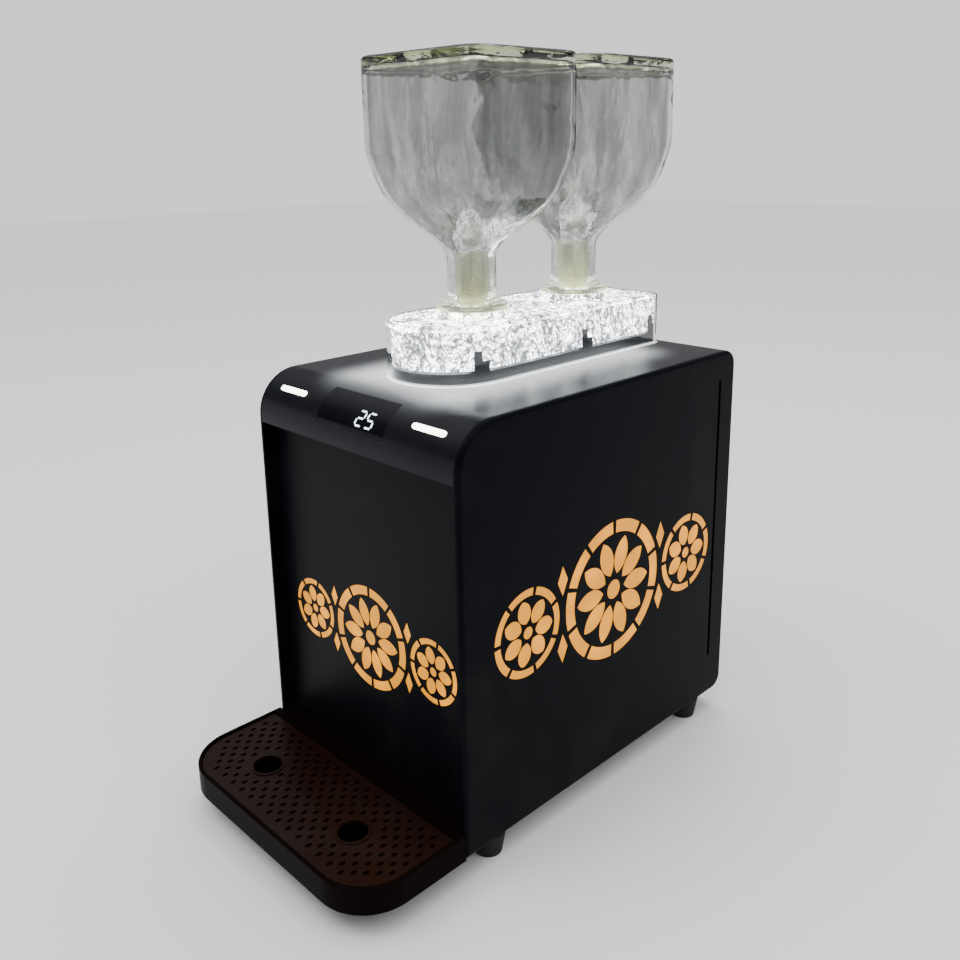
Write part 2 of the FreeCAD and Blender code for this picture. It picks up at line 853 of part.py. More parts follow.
def rear_screws():
    """Round-headed screws that hold the rear panel to the side plates' flanges."""
    screws = []
    for number, height in enumerate(SCREW_LEVELS):
        for name, hand in (("left", -1), ("right", 1)):
            x = SCREW_X * hand
            head = rod(f"rear_screw_head_{number}_{name}", x, REAR_FACE, height, S.screw_head,
                       S.screw_head_tall, "Y")
            shank = rod(f"rear_screw_shank_{number}_{name}", x, REAR_INSIDE - S.skin * 1.5, height,
                        S.screw_radius, S.skin * 2.5, "Y")
            screws.append(fuse(f"rear_screw_{number}_{name}", head, shank))
    node(gather("rear_screws", screws))


# Drip tray and its grille

def tray_plan(inset, back):
    """The tray's outline from above, drawn in by an inset, up to a straight back edge."""
    half = S.case_width / 2 - inset
    front = FRONT - S.tray_reach + inset
    r = S.tray_corner - inset
    return [
        line(-half, front + r), arc(r - half, front, r, 1),
        line(half - r, front), arc(half, front + r, r, 1),
        line(half, back), line(-half, back),
    ]


TRAY_BACK = FRONT - S.seat_gap
GRILLE_BACK = FRONT - S.tray_back_ledge
GRILLE_TOP = FLOOR + S.tray_height - S.grille_drop


def drip_tray():
    """A shallow pan with a stepped rim, a tongue between the side plates and two tabs."""
    tray = body("drip_tray", 0, 0, FLOOR)
    pad(tray, "XY_Plane", [tray_plan(0, TRAY_BACK)], S.tray_height)
    tongue = rectangle(-INNER + S.tray_clearance, TRAY_BACK - 1, (INNER - S.tray_clearance) * 2,
                       S.panel_recess + 1)
    pad(tray, "XY_Plane", [tongue], S.tray_height)
    tabs = pad(tray, "XZ_Plane", tab_loops(0), S.tab_reach + S.skin, lift=0)
    tabs.Reversed = True
    tabs.Profile[0].AttachmentOffset = Placement(Vector(0, 0, -(PANEL_FACE - S.seat_gap - 1).value), Rotation())
    bind(tabs.Profile[0], "AttachmentOffset.Base.z", -(PANEL_FACE - S.seat_gap - 1))
    rest = S.grille_drop + S.grille_thick
    pocket(tray, "XY_Plane", [tray_plan(S.tray_wall, GRILLE_BACK)], rest, lift=S.tray_height)
    deep = S.tray_height - rest - S.tray_floor
    basin = tray_plan(S.tray_wall + S.tray_ledge, GRILLE_BACK - S.tray_ledge)
    pocket(tray, "XY_Plane", [basin], deep, lift=S.tray_height - rest)

    def rim(edge):
        box = edge.BoundBox
        top = abs(box.ZMin - S.tray_height.value) < 1e-4 and abs(box.ZMax - S.tray_height.value) < 1e-4
        outside = (box.YMin < (FRONT - S.tray_reach).value + 0.1 or box.XMin < -S.case_width.value / 2 + 0.1
                   or box.XMax > S.case_width.value / 2 - 0.1)
        return top and outside and box.YMax < TRAY_BACK.value + 0.1 and box.YLength + box.XLength > 3

    round_edges(tray, S.tray_wall * 0.4, rim)
    return node(tray)


def inside_plan(x, y, margin):
    """Whether a point lies in the grille's plan, a margin away from its edge."""
    half = S.case_width.value / 2 - S.tray_wall.value - margin
    front = (FRONT - S.tray_reach + S.tray_wall).value + margin
    back = GRILLE_BACK.value - margin
    r = S.tray_corner.value - S.tray_wall.value - margin
    if abs(x) > half or y < front or y > back:
        return False
    dx, dy = abs(x) - (half - r), (front + r) - y
    return not (dx > 0 and dy > 0 and math.hypot(dx, dy) > r)


def grille_slots():
    """Staggered rows of six-sided slots, left out round the two drains."""
    long, wide = S.slot_long.value / 2, S.slot_wide.value / 2
    pitch, row = S.slot_pitch.value, S.slot_row.value
    drain_y = (FRONT - S.drain_reach).value
    low = (GRILLE_TOP - S.grille_thick).value - 1
    rows = int(S.tray_reach.value / row) + 1
    columns = int(S.case_width.value / pitch / 2) + 1
    prisms = []
    for number in range(-rows, rows):
        shift = pitch / 2 if number % 2 else 0.0
        y = drain_y + number * row
        for column in range(-columns, columns + 1):
            x = column * pitch + shift
            from_drain = min(math.hypot(x - hand * S.drain_offset.value, y - drain_y) for hand in (-1, 1))
            keep_off = S.drain_radius.value + S.drain_rim.value + long
            if not inside_plan(x, y, S.slot_margin.value) or from_drain < keep_off:
                continue
            corners = [Vector(x + u * wide, y + v * long, low) for u, v in
                       ((0, -1), (1, -0.45), (1, 0.45), (0, 1), (-1, 0.45), (-1, -0.45), (0, -1))]
            face = Part.Face(Part.makePolygon(corners))
            prisms.append(face.extrude(Vector(0, 0, S.grille_thick.value + 2)))
    return shaped("drip_grille_slots", Part.makeCompound(prisms))


def drip_grille():
    """The slotted plate with two drains, each in a raised ring."""
    plate = body("drip_grille_plate", 0, 0, GRILLE_TOP - S.grille_thick)
    edge = tray_plan(S.tray_wall + S.tray_clearance, GRILLE_BACK - S.tray_clearance)
    pad(plate, "XY_Plane", [edge], S.grille_thick)
    rings = [disc(S.drain_offset * hand, FRONT - S.drain_reach, S.drain_radius + S.drain_rim) for hand in (-1, 1)]
    pad(plate, "XY_Plane", rings, S.grille_thick + S.grille_drop / 2)
    drains = [disc(S.drain_offset * hand, FRONT - S.drain_reach, S.drain_radius) for hand in (-1, 1)]
    pocket(plate, "XY_Plane", drains, S.grille_thick * 3, reverse=True)
    return node(cut("drip_grille", plate, grille_slots()))


# Display and dispense keys, all set out from the bend's axis

def display():
    """A curved smoked lens in the window, and the digit module behind it."""
    lens = bend_sector("display_lens", S.display_half, S.display_low_angle + 0.5, S.display_high_angle - 0.5,
                       S.bend_radius - S.key_clearance / 2, S.bend_radius - S.skin)
    node(lens)
    level = S.bend_radius - S.skin * 2.4 - S.module_depth
    y, z = on_bend(level)
    middle = Rotation(Vector(1, 0, 0), 90 - S.key_angle.value)
    module = body("display_module", 0, y, z, middle)
    pad(module, "XY_Plane", [centred_rectangle(0, 0, S.display_half * 2 - 8, S.board_width * 1.5)], S.module_depth)
    pad(module, "XY_Plane", [centred_rectangle(0, 0, S.display_half * 2 - 20, S.board_width)],
        level - S.board_level - S.board_thick, reverse=True)
    node(module)


def keys():
    """Round-ended light bars with a hidden flange and a stem down to the switch."""
    face = S.bend_radius + S.key_proud
    flange_top = S.bend_radius - S.skin - S.key_hang
    switch_top = S.board_level + S.board_thick + S.switch_size
    for name, hand in (("left", -1), ("right", 1)):
        y, z = on_bend(0)
        key = body(f"dispense_key_{name}", S.key_offset * hand, y, z, KEY_TURN)
        bar = stadium(0, 0, S.key_length, S.key_width)
        wide = stadium(0, 0, S.key_length + S.key_flange * 2, S.key_width + S.key_flange * 2)
        pad(key, "XY_Plane", [bar], face - flange_top + 1, lift=flange_top - 1)
        pad(key, "XY_Plane", [wide], S.board_thick, lift=flange_top - S.board_thick)
        stem_low = switch_top + S.key_travel + S.seat_gap
        pad(key, "XY_Plane", [disc(0, 0, S.key_width / 2)], flange_top - stem_low, lift=stem_low)
        node(key)


def button_board():
    """The circuit board behind the bend, its switches, and the posts that hang it."""
    y, z = on_bend(S.board_level, -S.board_width / 3)
    half = INNER - S.side_flange / 2
    board = body("button_board", 0, y, z, KEY_TURN)
    pad(board, "XY_Plane", [rectangle(-half, 0, half * 2, S.board_width)], S.board_thick)
    node(board)
    switches = []
    for name, hand in (("left", -1), ("right", 1)):
        size = S.switch_size
        sy, sz = on_bend(S.board_level + S.board_thick, -size / 2)
        case = body(f"tact_switch_case_{name}", S.key_offset * hand, sy, sz, KEY_TURN)
        pad(case, "XY_Plane", [rectangle(-size / 2, 0, size, size)], size * 0.7)
        pad(case, "XY_Plane", [disc(0, size / 2, size * 0.28)], size)
        switches.append(case)
    node(gather("tact_switches", switches))
    posts = []
    outer = half - S.switch_size / 2
    for name, x in (("1", -outer), ("2", -(S.display_half + 6)), ("3", S.display_half + 6), ("4", outer)):
        py, pz = on_bend(S.board_level + S.board_thick)
        post = rod(f"board_post_bar_{name}", x, py, pz, S.switch_size / 2, S.bend_radius, KEY_TURN)
        inner = rod(f"board_post_core_{name}", x - 10, BEND_Y, BEND_Z, S.bend_radius - S.skin, 20, "X")
        posts.append(common(f"board_post_{name}", post, inner))
    node(gather("board_posts", posts))


# The lit ice block on top

def block_plan(grow, corner=None):
    """The block's outline from above: a round front and a square back with small corners."""
    half = S.block_width / 2 + grow
    centre = FRONT + S.block_front + S.block_width / 2
    back = FRONT + S.block_back + grow
    r = S.block_corner + grow if corner is None else corner
    return [
        arc(0, centre - half, half, 1), arc(half, centre, half, 1),
        line(half, back - r), arc(half - r, back, r, 1),
        line(r - half, back), arc(-half, back - r, r, 1), line(-half, centre),
    ]


def block_posts(grow):
    """The dark stepped posts that stand inside the block's walls."""
    wide, deep = S.post_width + grow * 2, S.post_deep + grow
    reach = S.block_width / 2
    inner = reach - S.block_wall - deep
    boxes = []
    places = (FRONT + S.post_front, FRONT + S.post_middle,
              FRONT + S.block_back - S.block_wall - S.post_width / 2)
    for number, y in enumerate(places):
        for name, hand in (("left", -1), ("right", 1)):
            x = inner if hand > 0 else -reach
            low = TOP + S.band_height - 1
            tall = S.post_height - S.band_height + 1
            for part, along, share in (("post", y - wide / 2, 1.0), ("post_step", y, 0.55)):
                boxes.append(block(f"{part}_{number}_{name}_{grow}", x, along, low, reach - inner, wide / 2,
                                   tall * share + grow))
    return boxes


SOCKET_HOLE = S.socket_radius + S.screw_fit * 3


def ice_block():
    """Base band with posts, light strip, crackled insert, and the clear cover over them."""
    inner = -(S.block_wall + S.screw_fit)
    holes = [disc(0, y, SOCKET_HOLE) for _, y in BOTTLES]
    band = body("block_base_band", 0, 0, TOP)
    pad(band, "XY_Plane", [block_plan(inner), *holes], S.band_height)
    room = body("block_post_room", 0, 0, TOP)
    pad(room, "XY_Plane", [block_plan(inner)], S.block_height)
    posts = common("block_posts", fuse("block_post_boxes", *block_posts(0)), room)
    node(fuse("block_base", band, posts))
    strip = body("block_light", 0, 0, TOP + S.band_height)
    pad(strip, "XY_Plane", [block_plan(inner - S.post_deep - 1, S.block_corner / 2), *holes], S.light_thick)
    node(strip)
    insert = body("ice_insert_slab", 0, 0, TOP + S.band_height + S.light_thick)
    rise = S.block_height - S.block_wall - S.band_height - S.light_thick
    pad(insert, "XY_Plane", [block_plan(inner), *holes], rise)
    node(cut("ice_insert", insert, fuse("ice_insert_room", *block_posts(0.3))))
    cover = body("block_cover", 0, 0, TOP)
    pad(cover, "XY_Plane", [block_plan(0)], S.block_height)
    pad(cover, "XY_Plane", [block_plan(S.block_flange)], S.flange_thick)
    pocket(cover, "XY_Plane", [block_plan(-S.block_wall)], S.block_height - S.block_wall, reverse=True)
    pocket(cover, "XY_Plane", holes, S.block_height + 1, reverse=True)

    def upper_rim(edge):
        box = edge.BoundBox
        level = S.block_height.value
        at_top = abs(box.ZMin - level) < 1e-4 and abs(box.ZMax - level) < 1e-4
        circle = hasattr(edge.Curve, "Radius") and abs(edge.Curve.Radius - SOCKET_HOLE.value) < 1e-3
        return at_top and not circle

    round_edges(cover, S.block_wall * 0.5, upper_rim)
    node(cover)


# Bottles, stoppers, seals and sockets

SOCKET_TOP = TOP + S.block_height + S.socket_rim
SEAL_TOP = SOCKET_TOP + S.seal_thick
BOTTLE_LOW = SEAL_TOP + S.seat_gap


def bottle_section(label, wide, deep, corner, height, y):
    """One level of the bottle's form: a rounded rectangle of eight edges."""
    sketch = feature("Sketcher::SketchObject", label)
    place(sketch, 0, y, height)
    add_loop(sketch, rounded(-wide / 2, -deep / 2, wide, deep, corner))
    return sketch


SHOULDER = (
    (0.0, 1.0), (0.10, 0.985), (0.26, 0.91), (0.46, 0.77), (0.62, 0.55),
    (0.75, 0.31), (0.84, 0.13), (0.92, 0.035), (1.0, 0.0),
)


def bottle_form(label, y, wall, radius, base):
    """The square bottle, upside down: a straight body, a drawn-in shoulder and a round neck."""
    top = BOTTLE_LOW + S.bottle_tall
    wide, deep, corner = S.bottle_width - wall * 2, S.bottle_depth - wall * 2, S.bottle_corner - wall
    start = top - S.shoulder_start
    end = BOTTLE_LOW + S.neck_length
    slim = radius - 1
    upper = body(label + "_upper", 0, y, start)
    pad(upper, "XY_Plane", [rounded(-wide / 2, -deep / 2, wide, deep, corner)], top - base - start)
    sections = []
    for number, (along, share) in enumerate(SHOULDER):
        height = start + (end - start) * along
        w = wide * share + slim * 2 * (1 - share)
        d = deep * share + slim * 2 * (1 - share)
        c = corner * share + (slim - 0.1) * (1 - share)
        sections.append(bottle_section(f"{label}_level_{number}", w, d, c, height, y))
    shoulder = feature("Part::Loft", label + "_shoulder")
    shoulder.Sections = sections
    shoulder.Solid = True
    shoulder.Ruled = False
    return upper, shoulder, start + (end - start) * 0.78


def bottle(name, y):
    """A hollow glass bottle with a thick base, a flared lip and an open neck."""
    label = f"bottle_{name}"
    upper, shoulder, end = bottle_form(label + "_outer", y, 0, S.neck_radius, 0)

    def top_edges(edge):
        box = edge.BoundBox
        level = (S.shoulder_start).value
        return abs(box.ZMin - level) < 1e-4 and abs(box.ZMax - level) < 1e-4

    round_edges(upper, S.bottle_edge, top_edges)
    neck = rod(label + "_neck", 0, y, BOTTLE_LOW, S.neck_radius, end - BOTTLE_LOW)
    r, edge, tall = S.lip_radius, S.lip_edge, S.lip_height
    lip = turned(label + "_lip", [
        line(r - 1, 0), arc(r, 1, 1, 1), line(r, edge - 1), arc(r - 1, edge, 1, 1),
        arc(S.neck_radius, tall, S.lip_height, -1), line(S.neck_bore, tall), line(S.neck_bore, 0),
    ], 0, y, BOTTLE_LOW)
    inner_upper, inner_shoulder, inner_end = bottle_form(
        label + "_inner", y, S.bottle_wall, S.neck_bore, S.bottle_base)
    bore = rod(label + "_bore", 0, y, BOTTLE_LOW - 1, S.neck_bore, inner_end - BOTTLE_LOW + 1)
    outside = fuse(label + "_outside", upper, shoulder, neck, lip)
    inside = fuse(label + "_inside", inner_upper, inner_shoulder, bore)
    return node(cut(label, outside, inside))


def stopper(name, y):
    """A frosted pouring stopper in the neck, with a spout that enters the socket."""
    r, spout = S.stopper_radius, S.spout_radius
    tall = S.stopper_tall
    return node(turned(f"stopper_{name}", path_profile(
        (S.spout_bore, -S.spout_length), (spout * 0.8, -S.spout_length), (spout, -S.spout_length * 0.75),
        (spout, S.lip_height * 0.2), (r, S.lip_height * 0.2), (r, tall), (r * 0.8, tall + 2),
        (S.spout_bore, tall + 2),
    ), 0, y, BOTTLE_LOW))


def socket(name, y):
    """The bottle's seat: a flange on the block, a sleeve through it and a barb inside the case."""
    depth = SOCKET_TOP - TOP
    low = -(depth + S.skin + S.socket_reach)
    shank_low = -(depth + S.skin * 2)
    return node(turned(f"bottle_socket_{name}", path_profile(
        (S.socket_bore, 0), (S.socket_bore, shank_low + 4), (S.feed_bore, shank_low - 2), (S.feed_bore, low),
        (S.feed_radius, low), (S.feed_radius, shank_low - 6), (S.socket_shank, shank_low - 6),
        (S.socket_shank, -depth), (S.socket_radius, -depth), (S.socket_radius, -S.socket_rim),
        (S.socket_flange, -S.socket_rim), (S.socket_flange, 0),
    ), 0, y, SOCKET_TOP))


def seals():
    """Flat silicone rings between the sockets and the bottles' lips."""
    rings = [
        turned(f"socket_seal_{name}", path_profile(
            (S.socket_bore, 0), (S.lip_radius, 0), (S.lip_radius, S.seal_thick), (S.socket_bore, S.seal_thick),
        ), 0, y, SOCKET_TOP)
        for name, y in BOTTLES
    ]
    node(gather("socket_seals", rings))


# Cooling: cold block, foam, cooling modules, finned sink and fan, on a folded stand

COLD_LOW = FLOOR + S.cold_level
COLD_TOP = COLD_LOW + S.cold_height
COLD_FRONT = FRONT + S.cold_front
COLD_BACK = FRONT + S.cold_back
FEED_LOW = COLD_TOP
FEED_TOP = TOP - S.skin - S.socket_reach
SINK_FACE = COLD_BACK + S.peltier_thick
FAN_FRONT = REAR_INSIDE - S.fan_thick
PORT_Z = COLD_LOW + S.cold_height * 0.4


def cooling():
    """The block that chills the drink, wrapped in foam, and what carries its heat away."""
    half = S.cold_width / 2
    chill = block("cold_block_bar", -half, COLD_FRONT, COLD_LOW, S.cold_width, COLD_BACK - COLD_FRONT, S.cold_height)
    channels = [
        rod(f"cold_block_feed_{name}", 0, y, COLD_TOP - S.cold_height * 0.6, S.feed_bore, S.cold_height)
        for name, y in BOTTLES
    ]
    channels += mirrored(lambda name, hand: rod(
        f"cold_block_port_{name}", (S.pump_offset - S.barb_offset) * hand, COLD_FRONT - 1, PORT_Z,
        S.tube_bore, S.foam * 3, "Y"))
    node(cut("cold_block", chill, *channels))
    around = half + S.foam
    wrap = block("foam_wrap", -around, COLD_FRONT - S.foam, COLD_LOW - S.foam, around * 2,
                 COLD_BACK - COLD_FRONT + S.foam, S.cold_height + S.foam * 2)
    room = block("foam_room", -half, COLD_FRONT, COLD_LOW, S.cold_width, COLD_BACK - COLD_FRONT + 1, S.cold_height)
    holes = [
        rod(f"foam_feed_{name}", 0, y, COLD_TOP - 1, S.feed_radius + S.screw_fit, S.foam + 2) for name, y in BOTTLES
    ]
    holes += mirrored(lambda name, hand: rod(
        f"foam_port_{name}", (S.pump_offset - S.barb_offset) * hand, COLD_FRONT - S.foam - 1, PORT_Z,
        S.tube_radius + S.screw_fit, S.foam + 2, "Y"))
    node(cut("foam_jacket", wrap, room, *holes))
    middle = COLD_LOW + S.cold_height / 2
    modules = mirrored(lambda name, hand: block(
        f"cooling_module_{name}", (S.peltier_size / 2 + 1) * hand - S.peltier_size / 2, COLD_BACK,
        middle - S.peltier_size / 2, S.peltier_size, S.peltier_thick, S.peltier_size))
    node(gather("cooling_modules", modules))
    width = S.sink_width
    sink = body("heat_sink", -width / 2, SINK_FACE, FAN_Z - width / 2)
    deep = FAN_FRONT - SINK_FACE
    pad(sink, "XY_Plane", [rectangle(0, 0, width, S.sink_base)], width)
    step = (width - S.fin_thick) / (DIMENSIONS["fin_count"] - 1)
    fins = [rectangle(step * number, S.sink_base - 0.5, S.fin_thick, deep - S.sink_base + 0.5)
            for number in range(DIMENSIONS["fin_count"])]
    pad(sink, "XY_Plane", fins, width)
    node(sink)
    stand_top = COLD_LOW - S.foam
    stand = body("cooler_stand", 0, COLD_BACK, FLOOR + S.skin)
    tall = stand_top - FLOOR - S.skin
    side, foot, thick = around, S.stand_foot, S.skin
    profile = [
        line(-side - foot, thick), line(-side, thick), line(-side, tall), line(side, tall), line(side, thick),
        line(side + foot, thick), line(side + foot, 0), line(side - thick, 0), line(side - thick, tall - thick),
        line(thick - side, tall - thick), line(thick - side, 0), line(-side - foot, 0),
    ]
    pad(stand, "XZ_Plane", [profile], COLD_BACK - COLD_FRONT - S.stand_setback)
    node(stand)


def fan():
    """A square axial fan: its frame with four struts, and the bladed rotor."""
    size, thick = S.fan_size, S.fan_thick
    frame = body("fan_frame_shell", 0, REAR_INSIDE, FAN_Z)
    pad(frame, "XZ_Plane", [rounded(-size / 2, -size / 2, size, size, S.fan_bore / 10), disc(0, 0, S.fan_bore)], thick)
    strut_deep = thick * 0.15
    motor = S.fan_hub * 0.9
    parts = [rod("fan_frame_mount", 0, REAR_INSIDE - strut_deep, FAN_Z, motor, strut_deep, "Y")]
    for number in range(4):
        turn = Rotation(Vector(0, 1, 0), 45 + 90 * number)
        strut = sized("Part::Box", f"fan_frame_strut_{number}", {
            "Length": S.fan_bore + 1, "Width": strut_deep, "Height": strut_deep})
        parts.append(place(strut, 0, REAR_INSIDE - strut_deep, FAN_Z, turn))
    axle = rod("fan_frame_axle", 0, FAN_FRONT + thick * 0.35, FAN_Z, S.screw_radius, thick * 0.6, "Y")
    node(fuse("fan_frame", frame, *parts, axle))
    hub = turned("fan_rotor_hub", path_profile(
        (S.screw_radius + 0.05, thick * 0.1), (S.fan_hub, thick * 0.1), (S.fan_hub, thick * 0.78),
        (S.screw_radius + 0.05, thick * 0.78),
    ), 0, FAN_FRONT, FAN_Z, ALONG["Y"])
    blades = []
    count = DIMENSIONS["fan_blades"]
    reach = S.fan_bore.value - S.fan_tip_gap.value
    for number in range(count):
        angle = 360.0 / count * number
        blade = Part.makeBox(1.4, 11.0, reach - S.fan_hub.value + 1.0, Vector(-0.7, -5.5, 0))
        blade.rotate(Vector(0, 0, 0), Vector(0, 0, 1), 38)
        blade.translate(Vector(0, thick.value * 0.44, S.fan_hub.value - 1))
        blade.rotate(Vector(0, 0, 0), Vector(0, 1, 0), angle)
        blades.append(blade)
    ring = Part.makeCylinder(reach, thick.value, Vector(0, 0, 0), Vector(0, 1, 0))
    vanes = shaped("fan_rotor_blades", Part.makeCompound([blade.common(ring) for blade in blades]))
    place(vanes, 0, FAN_FRONT, FAN_Z)
    node(fuse("fan_rotor", hub, vanes))


# Pumps with their bracket, tubes and nozzles

def pumps():
    """Two roller pumps on a folded bracket, each with a motor behind and two barbs on top."""
    bracket = body("pump_bracket_sheet", 0, FRONT + S.pump_plane, FLOOR + S.skin)
    wide = S.pump_offset + S.pump_radius + S.stand_foot
    tall = S.pump_level + S.pump_radius + S.foam - S.skin
    plane = FRONT + S.pump_plane
    profile = [line(S.skin, 0), line(S.skin, tall), line(0, tall), line(0, S.skin), line(-S.base_flange, S.skin),
               line(-S.base_flange, 0)]
    pad(bracket, "YZ_Plane", [profile], wide * 2, centred=True)
    level = FLOOR + S.pump_level
    holes = mirrored(lambda name, hand: rod(
        f"pump_bracket_hole_{name}", S.pump_offset * hand, plane - 1, level, S.motor_radius + S.screw_fit,
        S.skin + 2, "Y"))
    node(cut("pump_bracket", bracket, *holes))
    for name, hand in (("left", -1), ("right", 1)):
        x = S.pump_offset * hand
        r, head = S.pump_radius, S.pump_head
        shell = turned(f"pump_{name}_shell", path_profile(
            (S.pump_cavity, 0), (r, 0), (r, head), (S.motor_radius, head), (S.motor_radius, head + S.motor_length),
            (0, head + S.motor_length), (0, head - S.skin), (S.pump_cavity, head - S.skin),
        ), x, plane - head, level, ALONG["Y"])
        pin = rod(f"pump_{name}_pin", x, plane - head + S.skin, level, S.screw_radius, head - S.skin - 1, "Y")
        barbs = []
        for side in (-1, 1):
            barb = rod(f"pump_{name}_barb_{side + 1}", x + S.barb_offset * side, plane - head / 2,
                       level + S.pump_radius * 0.8, S.barb_radius,
                       S.pump_radius * 0.2 + S.barb_length)
            barbs.append(barb)
        node(fuse(f"pump_{name}", shell, pin, *barbs))
        rotor = turned(f"pump_rotor_{name}_hub", path_profile(
            (S.screw_radius + 0.05, 0), (S.roller_circle + 2, 0), (S.roller_circle + 2, S.skin),
            (S.roller_circle / 2, S.skin), (S.roller_circle / 2, head - S.skin * 3), (S.screw_radius + 0.05, head - S.skin * 3),
        ), x, plane - head + S.skin, level, ALONG["Y"])
        rollers = []
        for number in range(DIMENSIONS["roller_count"]):
            angle = math.radians(90 + 360 / DIMENSIONS["roller_count"] * number)
            rollers.append(rod(f"pump_rotor_{name}_roller_{number}", x + S.roller_circle * math.cos(angle),
                               plane - head + S.skin * 1.5, level + S.roller_circle * math.sin(angle),
                               S.roller_radius, head - S.skin * 3.5, "Y"))
        node(fuse(f"pump_rotor_{name}", rotor, *rollers))


def tube_shape(points, bend, outer, bore):
    """A tube along straight runs that meet in arcs of one radius."""
    edges = []
    start = points[0]
    for before, corner, after in zip(points, points[1:], points[2:]):
        back = (before - corner).normalize()
        on = (after - corner).normalize()
        turn = math.pi - back.getAngle(on)
        setback = bend * math.tan(turn / 2)
        first, last = corner + back * setback, corner + on * setback
        inward = (back + on).normalize()
        centre = corner + inward * (bend / math.cos(turn / 2))
        middle = centre - inward * bend
        edges.append(Part.LineSegment(start, first).toShape())
        edges.append(Part.Arc(first, middle, last).toShape())
        start = last
    edges.append(Part.LineSegment(start, points[-1]).toShape())
    spine = Part.Wire(edges)
    way = points[1] - points[0]

    def pipe(radius):
        return spine.makePipeShell([Part.Wire(Part.makeCircle(radius, points[0], way))], True, False)

    return pipe(outer).cut(pipe(bore))


def tubes():
    """Feed tubes down from the sockets, suction tubes to the pumps and delivery tubes to the nozzles."""
    straight = []
    for name, y in BOTTLES:
        outer = rod(f"feed_tube_outer_{name}", 0, y, FEED_LOW, S.feed_radius, FEED_TOP - FEED_LOW)
        inner = rod(f"feed_tube_inner_{name}", 0, y, FEED_LOW - 1, S.feed_bore, FEED_TOP - FEED_LOW + 2)
        straight.append(cut(f"feed_tube_{name}", outer, inner))
    node(gather("feed_tubes", straight))
    barb_top = FLOOR + S.pump_level + S.pump_radius + S.barb_length
    pump_y = FRONT + S.pump_plane - S.pump_head / 2
    nozzle_end = FRONT + S.bend_radius - S.screw_head
    for label, offset, bend, route in (
        ("suction_tubes", S.pump_offset - S.barb_offset, S.tube_bend,
         ((COLD_FRONT, PORT_Z), (pump_y, PORT_Z), (pump_y, barb_top))),
        ("delivery_tubes", S.pump_offset + S.barb_offset, S.tube_bend * 0.7,
         ((pump_y, barb_top), (pump_y, FLOOR + S.nozzle_level), (nozzle_end, FLOOR + S.nozzle_level))),
    ):
        pair = []
        for hand in (-1, 1):
            points = [Vector(offset.value * hand, y.value, z.value) for y, z in route]
            pair.append(tube_shape(points, bend.value, S.tube_radius.value, S.tube_bore.value))
        node(shaped(label, Part.makeCompound(pair)))
    for name, hand in (("left", -1), ("right", 1)):
        x = S.drain_offset.value * hand
        level = (FLOOR + S.nozzle_level).value
        front = (FRONT + S.nozzle_reach).value
        points = [Vector(x, front, level - S.nozzle_bend.value), Vector(x, front, level),
                  Vector(x, nozzle_end.value, level)]
        points[0] = points[0] - Vector(0, 0, 0.5)
        pipe = tube_shape(points, S.nozzle_bend.value, S.nozzle_radius.value - 0.1, S.nozzle_bore.value)
        collar = Part.makeCylinder(S.nozzle_radius.value + 1.6, 3.0, Vector(x, PANEL_BACK.value, level), Vector(0, 1, 0))
        bore = Part.makeCylinder(S.nozzle_bore.value, 4.0, Vector(x, PANEL_BACK.value - 0.5, level), Vector(0, 1, 0))
        node(shaped(f"nozzle_{name}", pipe.fuse(collar.cut(bore)).removeSplitter()))


# Power supply, control board, mains inlet and rocker switch

